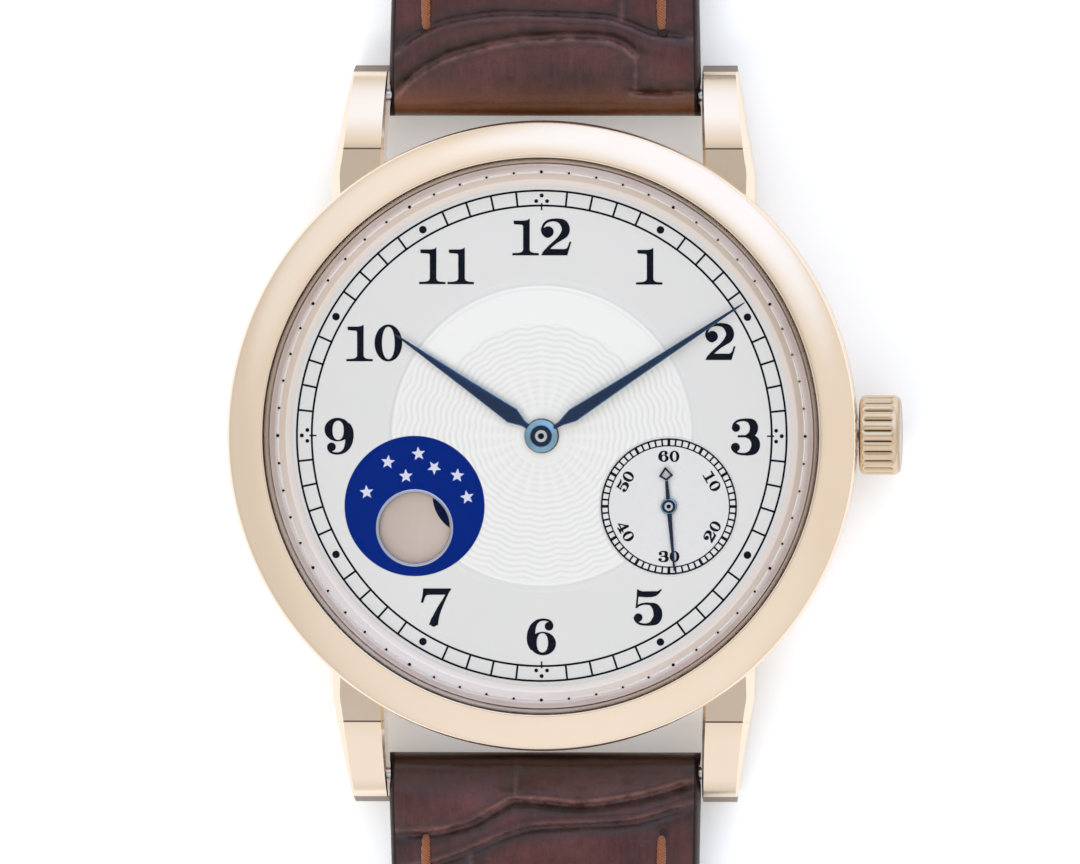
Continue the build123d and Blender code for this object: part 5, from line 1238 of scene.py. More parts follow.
# pale dashes along the flange lip: painted highlight
bp = Build("flange_line_painted_highlight")
fine_p = bp.noise(bp.coords((9, 9, 9)), 1.0, 3.0)
bp.set(color=bp.mix(fine_p, (0.90, 0.82, 0.78), (0.98, 0.92, 0.88)), metal=0.15, rough=bp.remap(fine_p, 0.35, 0.5))
bp.bump(fine_p, 0.05, 0.01)
m_flange_painted_highlight = bp.m
link_mesh("flange_line", me, m_flange_painted_highlight, "case", False, ())
# dark dots between the dashes: painted reflection of the minute ticks
dots = Solid()
for k in range(60):
    r = 15.075
    p = polar(r, 6 * k)
    dots.dot(p, 0.095 if k % 5 == 0 else 0.072, flange_z(r) - 0.01, flange_z(r) + 0.025, 14)
link_mesh("flange_dots", dots.mesh("flange_dots"), m_ink, "case", False, ())


# ------------------------------------------------------------------ crown with rounded ribs
def crown_mesh():
    ribs, per = 22, 26
    segs = ribs * per
    x0 = 18.06
    outer = [(x0, 1.88)] + [(x0 + 0.34 * (1 - math.cos(t)), 1.93 + 0.355 * math.sin(t)) for t in np.linspace(0.0, math.pi / 2, 9)]
    outer += [(x, 2.288) for x in np.linspace(x0 + 0.40, 19.96, 24)]
    outer += [(19.98 + 0.43 * math.sin(t), 1.88 + 0.408 * math.cos(t)) for t in np.linspace(0.02, math.pi / 2, 12)]
    outer += [(20.42, 1.80), (20.40, 1.72), (20.385, 1.66), (20.385, 0.9), (20.39, 0.02)]
    bore = [(19.45, 0.02), (19.45, 1.29), (18.9, 1.295), (x0, 1.30)]
    prof = outer + bore
    n = len(prof)
    a = np.linspace(0, 2 * math.pi, segs, endpoint=False)
    rib = np.abs(np.cos(ribs / 2 * (a + math.pi / ribs))) ** 0.62
    V = np.empty((segs, n, 3))
    for j, (x, r) in enumerate(prof):
        depth = 0.0
        if j < len(outer):
            depth = 0.175 * float(smooth(x, x0 + 0.20, x0 + 0.42) * (1 - smooth(x, 19.86, 20.06))) * (1.0 if r > 1.9 else 0.0)
        rr = r - depth * (1 - rib)
        V[:, j, 0] = x
        V[:, j, 1] = rr * np.cos(a)
        V[:, j, 2] = 3.0 + rr * np.sin(a)
    i, j = np.meshgrid(np.arange(segs), np.arange(n), indexing="ij")
    i2, j2 = (i + 1) % segs, (j + 1) % n
    quads = np.stack([i * n + j, i * n + j2, i2 * n + j2, i2 * n + j], -1).reshape(-1, 4)
    me = quad_mesh("crown_ribbed", V.reshape(-1, 3), quads)
    crown_shade_mask = np.zeros((segs, n))
    for j, (x, r) in enumerate(prof):
        if j < len(outer):
            crown_shade_mask[:, j] = (1 - rib) * float(smooth(x, x0 + 0.22, x0 + 0.40) * (1 - smooth(x, 19.88, 20.04))) * (1.0 if r > 1.9 else 0.0)
            # the outer end of the crown is darkened too: painted shade
            crown_shade_mask[:, j] = np.maximum(crown_shade_mask[:, j], 0.62 * float(smooth(x, 20.12, 20.38)))
    for key, arr in (("groove", crown_shade_mask),):
        at = me.attributes.new(key, "FLOAT", "POINT")
        at.data.foreach_set("value", arr.ravel().astype(np.float32))
    bm = bmesh.new()
    bm.from_mesh(me)
    bmesh.ops.recalc_face_normals(bm, faces=bm.faces)
    bm.to_mesh(me)
    bm.free()
    return link_mesh("crown_ribbed", me, m_gold_crown_painted_shade, "crown_and_stem", True, ("crown",), 50)


crown_mesh()


# ------------------------------------------------------------------ lugs with a widening outer bevel
def lugs_mesh():
    s = Solid()
    prof = circle3((16.4, 4.5), (19.0, 3.72), (20.72, 2.35))
    under = circle3((21.1, 0.85), (18.4, 0.78), (15.6, 1.35))
    ys = [12.6, 13.6, 14.9, 15.25, 15.6, 16.0, 16.33, 16.36, 16.39] + list(np.linspace(16.42, 20.68, 30)) + [20.74, 21.08]
    rows = []
    for y in ys:
        if y < 16.4:
            zt = 4.55 - 0.085 * (y - 12.5) / 3.9
        elif y <= 20.72:
            zt = prof[1] + math.sqrt(prof[2] ** 2 - (y - prof[0]) ** 2)
        else:
            zt = float(np.interp(y, [20.72, 20.76, 21.08], [2.35, 2.24, 0.98]))
        if y > 15.6:
            zb = under[1] + (1 if under[1] < 0 else -1) * math.sqrt(max(under[2] ** 2 - (y - under[0]) ** 2, 0))
        else:
            zb = 1.35
        xi = float(np.interp(y, [12.0, 21.3], [9.24, 8.985]))
        xo = float(np.interp(y, [12.6, 14.5, 15.1, 15.6, 21.3], [12.08, 12.08, 12.05, 11.93, 10.9]))
        co = float(np.interp(y, [12.6, 16.4, 20.7, 21.08], [0.52, 0.36, 0.10, 0.03]))
        ci = float(np.interp(y, [12.6, 16.4, 20.7, 21.08], [0.16, 0.17, 0.07, 0.03]))
        if abs(y - 16.36) < 0.005 or abs(y - 16.39) < 0.005:
            zt -= 0.022
        zt = max(zt, zb + 0.05)
        hi = zt - zb
        rows.append([(xi, y, zb), (xo, y, zb), (xo, y, zt - min(co * 1.25, hi * 0.6)), (xo - co, y, zt), (xi + ci, y, zt), (xi, y, zt - min(ci * 1.1, hi * 0.5))])
    n = 6
    base = [p for r in rows for p in r]
    f, idx = [], []
    for i in range(len(rows) - 1):
        for j in range(n):
            k = (j + 1) % n
            f.append((n * i + j, n * (i + 1) + j, n * (i + 1) + k, n * i + k))
            # the end face row and the crease line across the lug top take the darker gold: painted shade
            idx.append(1 if i == len(rows) - 2 or (6 <= i <= 8 and j in (3,)) else 0)
    f.append(tuple(range(n)))
    f.append(tuple(n * (len(rows) - 1) + j for j in range(n))[::-1])
    idx += [0, 1]
    for sx in (1, -1):
        for sy in (1, -1):
            v = [(sx * x, sy * y, z) for x, y, z in base]
            s.add(v, f if sx * sy > 0 else [q[::-1] for q in f])
    me = s.mesh("lugs_bevelled")
    me.polygons.foreach_set("material_index", np.asarray(idx * 4, dtype=np.int32))
    bm = bmesh.new()
    bm.from_mesh(me)
    bmesh.ops.recalc_face_normals(bm, faces=bm.faces)
    bm.to_mesh(me)
    bm.free()
    return link_mesh("lugs_bevelled", me, [m_gold, m_gold_end_painted_shade], "case", True, ("lugs",), 14)


# ------------------------------------------------------------------ strap
def circle3(p, q, r):
    ax, ay, bx, by, cx, cy = *p, *q, *r
    d = 2 * (ax * (by - cy) + bx * (cy - ay) + cx * (ay - by))
    ux = ((ax * ax + ay * ay) * (by - cy) + (bx * bx + by * by) * (cy - ay) + (cx * cx + cy * cy) * (ay - by)) / d
    uy = ((ax * ax + ay * ay) * (cx - bx) + (bx * bx + by * by) * (ax - cx) + (cx * cx + cy * cy) * (bx - ax)) / d
    return ux, uy, math.hypot(ax - ux, ay - uy)


lugs_mesh()

dome = circle3((16.0, 7.0), (16.99, 6.717), (17.87, 6.17))
BEZEL = [(15.60, 4.60), (15.60, 6.50), (15.62, 6.55), (15.66, 6.565), (15.82, 6.60), (15.86, 6.64), (15.885, 6.88), (15.90, 6.955), (15.935, 6.99), (15.97, 7.0)]
for rr_ in np.linspace(16.0, 17.87, 40):
    BEZEL.append((float(rr_), dome[1] + math.sqrt(dome[2] ** 2 - (rr_ - dome[0]) ** 2)))
BEZEL += [(17.92, 6.11), (17.96, 6.04), (17.985, 5.95), (18.0, 5.82), (18.0, 4.80), (17.985, 4.70), (17.94, 4.63), (17.86, 4.60)]
me = lathe_mesh("bezel_dome", BEZEL, 400)
idx = np.zeros(len(me.polygons), dtype=np.int32).reshape(400, len(BEZEL))
# rows 0 to 6, the inner step, take the darker gold: painted shade
idx[:, 0:7] = 1
link_mesh("bezel_dome", me, [m_gold, m_gold_step_painted_shade], "case", True, ("bezel",), 35)
me.polygons.foreach_set("material_index", idx.ravel())

TIP_C = circle3((8.0, 126.0), (5.6, 131.4), (0.0, 133.45))


def half_width(t, lower):
    w = np.interp(t, [18.0, 20.8, 24.0, 62.0, 200.0], [8.92, 8.92, 8.84, 7.98, 7.98])
    if lower:
        cx, cy, cr = TIP_C
        tip = cx + np.sqrt(np.clip(cr * cr - (t - cy) ** 2, 0.0, None))
        w = np.where(t > 126.0, np.minimum(w, np.clip(tip, 0.45, None)), w)
    return w


def pchip(t, xs, ys):
    """Smooth monotone interpolation."""
    xs, ys = np.asarray(xs, float), np.asarray(ys, float)
    h, d = np.diff(xs), np.diff(ys) / np.diff(xs)
    m = np.zeros(len(xs))
    m[0], m[-1] = d[0], d[-1]
    for i in range(1, len(xs) - 1):
        if d[i - 1] * d[i] > 0:
            w1, w2 = 2 * h[i] + h[i - 1], h[i] + 2 * h[i - 1]
            m[i] = (w1 + w2) / (w1 / d[i - 1] + w2 / d[i])
    k = np.clip(np.searchsorted(xs, t) - 1, 0, len(xs) - 2)
    s = (t - xs[k]) / h[k]
    return ((1 + 2 * s) * (1 - s) ** 2 * ys[k] + s * (1 - s) ** 2 * h[k] * m[k] + s * s * (3 - 2 * s) * ys[k + 1] + s * s * (s - 1) * h[k] * m[k + 1])


def strap_heights(t, lower):
    if lower:
        zt = pchip(np.clip(t, 19.4, None), [19.4, 21.6, 25.5, 40.0, 60.0, 134.0], [3.3, 3.93, 4.26, 3.3, 2.45, 2.2])
        zb = pchip(np.clip(t, 19.4, None), [19.4, 32.0, 48.0, 60.0, 134.0], [0.92, 0.47, 0.02, 0.02, 0.02])
        end = np.clip((t - 131.5) / 2.0, 0, 1)
        zt = zt - 0.55 * end ** 2
    else:
        zt = pchip(np.clip(t, 19.4, 93.5), [19.4, 21.6, 25.5, 40.0, 60.0, 93.5], [3.3, 3.93, 4.28, 3.9, 3.4, 3.28])
        zb = np.full_like(zt, 0.92)
        far = np.clip(t - 93.5, 0, 1.19)
        e = np.sqrt(1.44 - far ** 2)
        zt = np.where(t > 93.5, 2.1 + e * (1.18 / 1.2), zt)
        zb = np.where(t > 93.5, 2.1 - e * (1.18 / 1.2), zb)
    near = np.clip(19.4 - t, 0, 1.19)
    e = np.sqrt(1.44 - near ** 2)
    zt = np.where(t < 19.4, 2.1 + e, zt)
    zb = np.where(t < 19.4, 2.1 - e * 0.98, zb)
    return zt, zb


def arc_line(pts, n=8):
    """Smooth polyline through points."""
    pts = np.asarray(pts, float)
    s = np.r_[0, np.cumsum(np.linalg.norm(np.diff(pts, axis=0), axis=1))]
    m = max(4, int(s[-1] / 0.30))
    q = np.linspace(0, s[-1], m)
    if len(pts) > 2:
        return np.stack([pchip(q, s, pts[:, 0]), pchip(q, s, pts[:, 1])], -1)
    return np.stack([np.interp(q, s, pts[:, 0]), np.interp(q, s, pts[:, 1])], -1)


def crease_lines(lower):
    """Creases between the scales as (line, depth, width), some with a fourth value that weakens their painted highlight
    and painted shade; t measured away from the case.
    """
    r = np.random.default_rng(31 if lower else 12)
    out = []
    if lower:
        out.append((arc_line([(-9.2, 22.75), (-7.4, 22.9), (-6.3, 22.8), (-4.2, 22.3), (-2.6, 21.4), (-1.63, 20.95), (0.2, 21.05), (1.9, 21.2),
                              (5.6, 20.7), (7.4, 20.2), (9.2, 19.7)]), 0.34, 0.26))
        out.append((arc_line([(-9.2, 25.0), (-6.4, 24.6), (-4.14, 23.8), (-2.3, 23.0), (-0.55, 22.5), (2.0, 22.35), (4.76, 22.2), (7.2, 21.6),
                              (9.2, 21.0)]), 0.30, 0.26, 0.50))
        out.append((arc_line([(-1.63, 18.2), (-1.60, 19.4), (-1.66, 20.9)]), 0.26, 0.16))
        out.append((arc_line([(-4.14, 23.9), (-4.2, 26.4), (-4.05, 29.6)]), 0.24, 0.18))
        rows, start = [], 29.6
        end = 133.0
    else:
        out.append((arc_line([(-9.2, 18.6), (-8.77, 19.2), (-7.2, 20.7), (-5.4, 21.7), (-3.69, 22.2), (-1.0, 22.68), (1.91, 22.8), (3.6, 22.7),
                              (4.6, 22.35), (5.2, 21.8)]), 0.36, 0.30))
        out.append((arc_line([(5.22, 21.9), (5.24, 20.8), (5.2, 19.57)]), 0.26, 0.18))
        out.append((arc_line([(5.1, 19.6), (6.6, 19.52), (8.0, 19.6), (9.2, 19.45)]), 0.26, 0.18))
        out.append((arc_line([(-9.2, 21.4), (-7.0, 23.0), (-5.0, 23.75), (-2.0, 24.1), (1.9, 24.0), (3.6, 23.9), (4.9, 23.5), (6.6, 22.9),
                              (9.2, 22.75)]), 0.30, 0.26, 0.38))
        out.append((arc_line([(4.45, 23.7), (4.5, 25.4), (4.35, 28.9)]), 0.24, 0.18))
        rows, start = [], 28.9
        end = 94.5
    t = start
    k = 0
    prev = None
    while t < end + 3:
        bow = 0.9 * math.cos(0.9 * k) + 0.25 * r.standard_normal()
        xs = np.linspace(-9.3, 9.3, 13)
        ys = t + bow * (1 - (xs / 9.3) ** 2) + 0.38 * np.sin(xs * 0.75 + 1.7 * k) + 0.13 * r.standard_normal(13)
        out.append((arc_line(np.stack([xs, ys], -1)), 0.30 * float(r.uniform(0.85, 1.1)), 0.24))
        if prev is not None:
            size = ys[6] - prev[6]
            cuts = [-6.0, -2.2, 2.0, 6.1] if k % 2 else [-4.3, 0.1, 4.5]
            for c in cuts:
                c = c + 0.35 * r.standard_normal()
                a = np.interp(c, xs, prev)
                b = np.interp(c, xs, ys)
                out.append((arc_line([(c, a), (c + 0.22 * r.standard_normal(), (a + b) / 2), (c + 0.15 * r.standard_normal(), b)]),
                            0.24 * float(r.uniform(0.8, 1.1)), 0.18))
        prev = ys
        step = 5.2 + 0.35 * r.standard_normal()
        if t > 60:
            step *= 0.86
        t += step
        k += 1
    return out


def crease_field(X, T, lines):
    """For each point: relief (mm, negative in creases), how far up the scale it is, a painted highlight along each
    crease, mostly on its near side, and a band of painted shade beyond it.
    """
    near = np.full(X.shape, 9.0)
    groove = np.zeros(X.shape)
    lip = np.zeros(X.shape)
    puff = np.zeros(X.shape)
    dark = np.zeros(X.shape)
    tcol = T[:, 0]
    for line, depth, width, *lit in lines:
        rows = np.nonzero((tcol > line[:, 1].min() - 2.6) & (tcol < line[:, 1].max() + 2.6))[0]
        if not len(rows):
            continue
        sl = slice(rows[0], rows[-1] + 1)
        P = np.stack([X[sl], T[sl]], -1)
        d = np.full(P.shape[:-1], 9.0)
        for a, b in zip(line[:-1], line[1:]):
            d = np.minimum(d, seg_dist(P, a, b))
        near[sl] = np.minimum(near[sl], d)
        across = np.ptp(line[:, 0]) > 1.5 * np.ptp(line[:, 1])
        if across:
            order = np.argsort(line[:, 0])
            t_line = np.interp(P[..., 0], line[order, 0], line[order, 1])
            before = 1 / (1 + np.exp((P[..., 1] - t_line) / 0.10))
            edge = before * (np.exp(-((d - 0.18) / 0.12) ** 2) + 0.30 * np.exp(-d / 0.8)) + (1 - before) * 0.12 * np.exp(-(d / 0.20) ** 2)
            dark[sl] = np.maximum(dark[sl], (1 - before) * np.exp(-(np.maximum(d - 0.42, 0.0) / 0.28) ** 2) * (lit[0] if lit else 1.0))
            puff[sl] = np.maximum(puff[sl], before * 0.07 * np.exp(-((d - 0.40) / 0.45) ** 2))
            deep = depth * (1.0 - 0.25 * before)
        else:
            edge = 0.55 * np.exp(-(d / 0.15) ** 2)
            deep = depth * 0.5
        lip[sl] = np.maximum(lip[sl], edge * (lit[0] if lit else 1.0))
        groove[sl] = np.minimum(groove[sl], -deep * np.exp(-(d / width) ** 1.6))
    top = 1 - np.exp(-(near / 0.75) ** 1.5)
    relief = groove + puff - 0.08 * np.exp(-near / 0.9)
    return relief, top, np.clip(lip, 0, 1), np.clip(dark, 0, 1)


def value_noise(X, T, scale, seed):
    r = np.random.default_rng(seed)
    g = r.standard_normal((128, 128))
    x, y = X * scale + 57.3, T * scale + 11.9
    xi, yi = np.floor(x).astype(int), np.floor(y).astype(int)
    fx, fy = x - xi, y - yi
    fx, fy = fx * fx * (3 - 2 * fx), fy * fy * (3 - 2 * fy)

    def at(i, j):
        return g[i % 128, j % 128]

    return (at(xi, yi) * (1 - fx) * (1 - fy) + at(xi + 1, yi) * fx * (1 - fy) + at(xi, yi + 1) * (1 - fx) * fy + at(xi + 1, yi + 1) * fx * fy)


class Strap:
    def __init__(self, lower):
        self.lower = lower
        self.sign = -1.0 if lower else 1.0
        nose = 19.4 - 1.2 * np.cos(np.radians(np.linspace(7, 90, 12)))
        if lower:
            body = np.concatenate([np.arange(19.47, 28.5, 0.075), np.arange(28.5, 126.0, 0.19)])
            cx, cy, cr = TIP_C
            a0 = math.asin(np.clip((126.0 - cy) / cr, -1, 1))
            tip = cy + cr * np.sin(np.linspace(a0, math.pi / 2 * 0.985, 46))
            tip = tip[(tip > 126.1) & (tip < 133.38)]
            self.t = np.concatenate([nose, body, tip])
        else:
            body = np.concatenate([np.arange(19.47, 28.5, 0.075), np.arange(28.5, 93.45, 0.18)])
            self.t = np.concatenate([nose, body, 93.5 + 1.2 * np.sin(np.radians(np.linspace(4, 82, 11)))])
        self.build_surface()

    def build_surface(self):
        t = self.t
        self.w = half_width(t, self.lower)
        self.zt, self.zb = strap_heights(t, self.lower)
        self.q = np.sin(np.linspace(-1, 1, 157) * math.pi / 2 * 0.86) / math.sin(math.pi / 2 * 0.86)
        self.edge = np.minimum(0.34, self.w * 0.5)
        win = self.w - self.edge
        X = win[:, None] * self.q[None, :]
        T = np.broadcast_to(t[:, None], X.shape)
        relief, top, self.lip, self.dark = crease_field(X, T, crease_lines(self.lower))
        drop = np.interp(t, [20.4, 23.0, 27.0, 60.0, 200.0], [0.0, 0.24, 0.42, 0.44, 0.40])
        self.drop = drop
        shape = smooth(np.abs(self.q), 0.60, 1.06)[None, :] ** 1.15
        thick = (self.zt - self.zb)[:, None]
        Z = self.zt[:, None] - thick * drop[:, None] * shape
        fade_end = smooth(T, 18.25, 19.2)
        if not self.lower:
            fade_end = fade_end * (1 - smooth(T, 93.6, 94.5))
        fade_side = 1 - 0.55 * smooth(np.abs(X), win[:, None] - 0.9, win[:, None])
        soft = 0.035 * value_noise(X, T, 0.55, 5) + 0.014 * value_noise(X, T, 1.7, 6) + 0.006 * value_noise(X, T, 4.2, 8)
        xs = self.w[:, None] - 2.1
        groove = -0.07 * np.exp(-((np.abs(X) - xs) / 0.30) ** 2) * smooth(T, 21.8, 22.8)
        Z = Z + (relief * fade_side + soft + groove) * fade_end
        Z = np.maximum(Z, self.zb[:, None] + 0.12)
        # top is lowered towards the sides, which darkens the leather there: painted shade
        self.X, self.T, self.Z, self.top = X, T, Z, top * fade_side

    def height(self, x, t):
        i = int(np.clip(np.searchsorted(self.t, t), 0, len(self.t) - 1))
        j = int(np.clip(np.searchsorted(self.X[i], x), 1, self.X.shape[1] - 1))
        a = (x - self.X[i, j - 1]) / (self.X[i, j] - self.X[i, j - 1])
        return float(self.Z[i, j - 1] * (1 - a) + self.Z[i, j] * a)

    def mesh(self, name):
        K, M = self.X.shape
        rows = []
        mats = []
        att = []
        nose = (1 - smooth(self.t, 18.5, 20.6)) * 0.95
        loops = []
        ang = np.linspace(math.pi / 2, -math.pi / 2, 9)[1:-1]
        for i in range(K):
            win = self.w[i] - self.edge[i]
            top = np.stack([self.X[i], self.Z[i]], -1)
            zr, zl, zb = self.Z[i, -1], self.Z[i, 0], self.zb[i]
            ex = self.edge[i]
            right = np.stack([win + ex * np.cos(ang), (zr + zb) / 2 + (zr - zb) / 2 * np.sin(ang)], -1)
            bx = np.linspace(win, -win, 15)
            bz = zb + 0.05 * (1 - np.cos(np.linspace(0, 2 * math.pi, 15))) * 0.5 * (1 if self.lower else 1)
            bottom = np.stack([bx, bz], -1)
            left = np.stack([-win - ex * np.cos(ang[::-1]), (zl + zb) / 2 + (zl - zb) / 2 * np.sin(ang[::-1])], -1)
            loops.append(np.concatenate([top, right, bottom, left]))
        L = np.stack(loops)
        n = L.shape[1]
        V = np.empty((K, n, 3))
        V[..., 0] = L[..., 0]
        V[..., 1] = self.sign * self.t[:, None]
        V[..., 2] = L[..., 1]
        i, j = np.meshgrid(np.arange(K - 1), np.arange(n), indexing="ij")
        j2 = (j + 1) % n
        order = [i * n + j, (i + 1) * n + j, (i + 1) * n + j2, i * n + j2]
        if not self.lower:
            order = order[::-1]
        quads = np.stack(order, -1).reshape(-1, 4)
        me = bpy.data.meshes.new(name)
        v = V.reshape(-1, 3) * MM
        capA, capB = np.arange(n), (K - 1) * n + np.arange(n)
        if self.lower:
            capB = capB[::-1]
        else:
            capA = capA[::-1]
        capA, capB = capA[::-1], capB[::-1]
        loops_idx = np.concatenate([quads.ravel(), capA, capB]).astype(np.int32)
        me.vertices.add(len(v))
        me.vertices.foreach_set("co", v.ravel())
        me.loops.add(len(loops_idx))
        me.loops.foreach_set("vertex_index", loops_idx)
        me.polygons.add(len(quads) + 2)
        starts = np.concatenate([np.arange(len(quads)) * 4, [4 * len(quads), 4 * len(quads) + n]]).astype(np.int32)
        me.polygons.foreach_set("loop_start", starts)
        me.update(calc_edges=True)
        topv = np.full((K, n), 0.35)
        topv[:, :M] = self.top
        # reddish brown band where the strap rolls over the bar: painted highlight, weaker on the lower strap
        nose_painted_highlight = np.zeros((K, n))
        nose_painted_highlight[:, :M] = nose[:, None] * (0.38 if self.lower else 1.0)
        # lip: painted highlight along the creases
        lip_highlight = np.zeros((K, n))
        lip_highlight[:, :M] = self.lip * (1 - 0.6 * smooth(self.T, 30.0, 40.0))
        # darker lower nose and the band beyond each crease: painted shade
        shade = np.zeros((K, n))
        if self.lower:
            shade[:, :M] = (1 - smooth(self.T, 18.6, 21.0)) * 0.80
        rough_edge = 0.55 + 0.45 * np.clip(value_noise(self.X, self.T, 2.6, 91), -1, 1)
        shade[:, :M] = np.maximum(shade[:, :M], self.dark * rough_edge * 0.80 * (1 - 0.7 * smooth(self.T, 28.0, 38.0)))
        for key, arr in (("scale_top", topv), ("nose_painted_highlight", nose_painted_highlight), ("lip", lip_highlight), ("shade", shade)):
            at = me.attributes.new(key, "FLOAT", "POINT")
            at.data.foreach_set("value", arr.ravel().astype(np.float32))
        idx = np.zeros((K - 1, n), dtype=np.int32)
        idx[:, M - 1:M + 7] = 1
        idx[:, M + 7:M + 7 + 14] = 2
        idx[:, M + 7 + 14:] = 1
        me.polygons.foreach_set("material_index", np.concatenate([idx.ravel(), [1, 1]]).astype(np.int32))
        bm = bmesh.new()
        bm.from_mesh(me)
        bmesh.ops.recalc_face_normals(bm, faces=bm.faces)
        bm.to_mesh(me)
        bm.free()
        return me


def x_cutter(y, z, r, half, segs=64):
    s = Solid()
    pts = [(y + r * math.cos(2 * math.pi * i / segs), z + r * math.sin(2 * math.pi * i / segs)) for i in range(segs)]
    v = [(-half, a, b) for a, b in pts] + [(half, a, b) for a, b in pts]
    f = [(i, (i + 1) % segs, segs + (i + 1) % segs, segs + i) for i in range(segs)]
    f += [tuple(range(segs))[::-1], tuple(range(segs, 2 * segs))]
    s.add(v, f)
    return s


def box_cutter(x0, x1, y0, y1, z0, z1):
    s = Solid()
    v = [(x, y, z) for z in (z0, z1) for x, y in ((x0, y0), (x1, y0), (x1, y1), (x0, y1))]
    f = [(3, 2, 1, 0), (4, 5, 6, 7), (0, 1, 5, 4), (1, 2, 6, 5), (2, 3, 7, 6), (3, 0, 4, 7)]
    s.add(v, f)
    return s


def stitch_row(solid, holes, strap, side, t0, t1, pitch=3.45, length=2.95, r=0.27, under=False):
    """Saddle stitches: short plump threads that dive into their holes at each end. Under the strap they are pressed flat into the lining."""
    t = t0
    while t + length < t1:
        w0 = float(half_width(np.array([t]), strap.lower)[0]) - 2.1
        w1 = float(half_width(np.array([t + length]), strap.lower)[0]) - 2.1
        n, m = 15, 12
        base0, base1 = strap.height(side * w0, t), strap.height(side * w1, t + length)
        v, f = [], []
        for i in range(n):
            s = i / (n - 1)
            tt = t + length * s
            x = side * (w0 + (w1 - w0) * s + 0.07 * (s - 0.5))
            surf = float(np.interp(tt, strap.t, strap.zb)) if under else strap.height(x, tt)
            lift = 0.10 * math.sin(math.pi * s) ** 0.5 - 0.22 * (1 - math.sin(math.pi * min(max(s, 0.02), 0.98)) ** 0.35)
            lift += -0.12 if s in (0.0, 1.0) else 0.0
            z = surf + (0.06 + 0.2 * (1 - math.sin(math.pi * min(max(s, 0.02), 0.98)) ** 0.35) if under else lift)
            rad = r * (0.55 + 0.45 * math.sin(math.pi * min(max(s, 0.03), 0.97)) ** 0.4)
            for j in range(m):
                a = 2 * math.pi * j / m
                rip = 1 + 0.10 * math.cos(2 * (a - 7.5 * s * math.pi))
                v.append((x + rad * rip * math.cos(a), strap.sign * tt, z + rad * rip * (0.33 if under else 0.85) * math.sin(a)))
        for i in range(n - 1):
            for j in range(m):
                k = (j + 1) % m
                q = (i * m + j, i * m + k, (i + 1) * m + k, (i + 1) * m + j)
                f.append(q if strap.lower else q[::-1])
        f.append(tuple(range(m)) if not strap.lower else tuple(range(m))[::-1])
        f.append(tuple((n - 1) * m + j for j in range(m))[::-1] if not strap.lower else tuple((n - 1) * m + j for j in range(m)))
        solid.add(v, f)
        for e, x in () if under else ((t, side * w0), (t + length, side * w1)):
            z = strap.height(x, e)
            c = (x, strap.sign * e)
            # a near-black dot sunk into each needle hole: painted shade
            holes.dot(c, 0.37, z - 0.25, z + 0.035, 18, 0.6)
        t += pitch


def make_hole_shade():
    b = Build("needle_hole_painted_shade")
    n = b.noise(b.coords(), 6.0, 3.0)
    # near black: painted shade in the hole
    b.set(color=b.mix(n, (0.006, 0.003, 0.003), (0.016, 0.007, 0.006)), rough=b.remap(n, 0.6, 0.85))
    b.bump(n, 0.3, 0.05)
    return b.m


m_hole_painted_shade = make_hole_shade()
up = Strap(False)
lo = Strap(True)
me_up = up.mesh("strap_upper_leather")
strap_up = link_mesh("strap_upper_leather", me_up, [m_leather_painted_light, m_edge, m_lining], "upper_strap", True, ("strap_upper",))
cut(strap_up, [x_cutter(19.4, 2.1, 0.83, 12), x_cutter(93.5, 2.1, 0.68, 12), box_cutter(-1.2, 1.2, 92.0, 96.5, -1, 6)])
strap_up.data.set_sharp_from_angle(angle=math.radians(58))
me_lo = lo.mesh("strap_lower_leather")
strap_lo = link_mesh("strap_lower_leather", me_lo, [m_leather_painted_light, m_edge, m_lining], "lower_strap", True, ("strap_lower",))
cut(strap_lo, [x_cutter(-19.4, 2.1, 0.83, 12)] + [cylinder_cutter((0, -78.0 - 6.5 * i, 0), 0.95, -1.0, 6.0, 48) for i in range(7)])
strap_lo.data.set_sharp_from_angle(angle=math.radians(58))

for strap, body, label, t0, t1 in ((up, "upper_strap", "upper", 23.1, 91.0), (lo, "lower_strap", "lower", 22.8, 126.0)):
    th, ho = Solid(), Solid()
    for side in (-1, 1):
        stitch_row(th, ho, strap, side, t0, t1)
        stitch_row(th, ho, strap, side, t0 + 1.7, t1, under=True)
    link_mesh("stitches_" + label, th.mesh("stitches_" + label), m_thread, body, True, (), 60)
    link_mesh("stitch_hole_painted_shade_" + label, ho.mesh("stitch_hole_painted_shade_" + label), m_hole_painted_shade, body, True, (), 40)


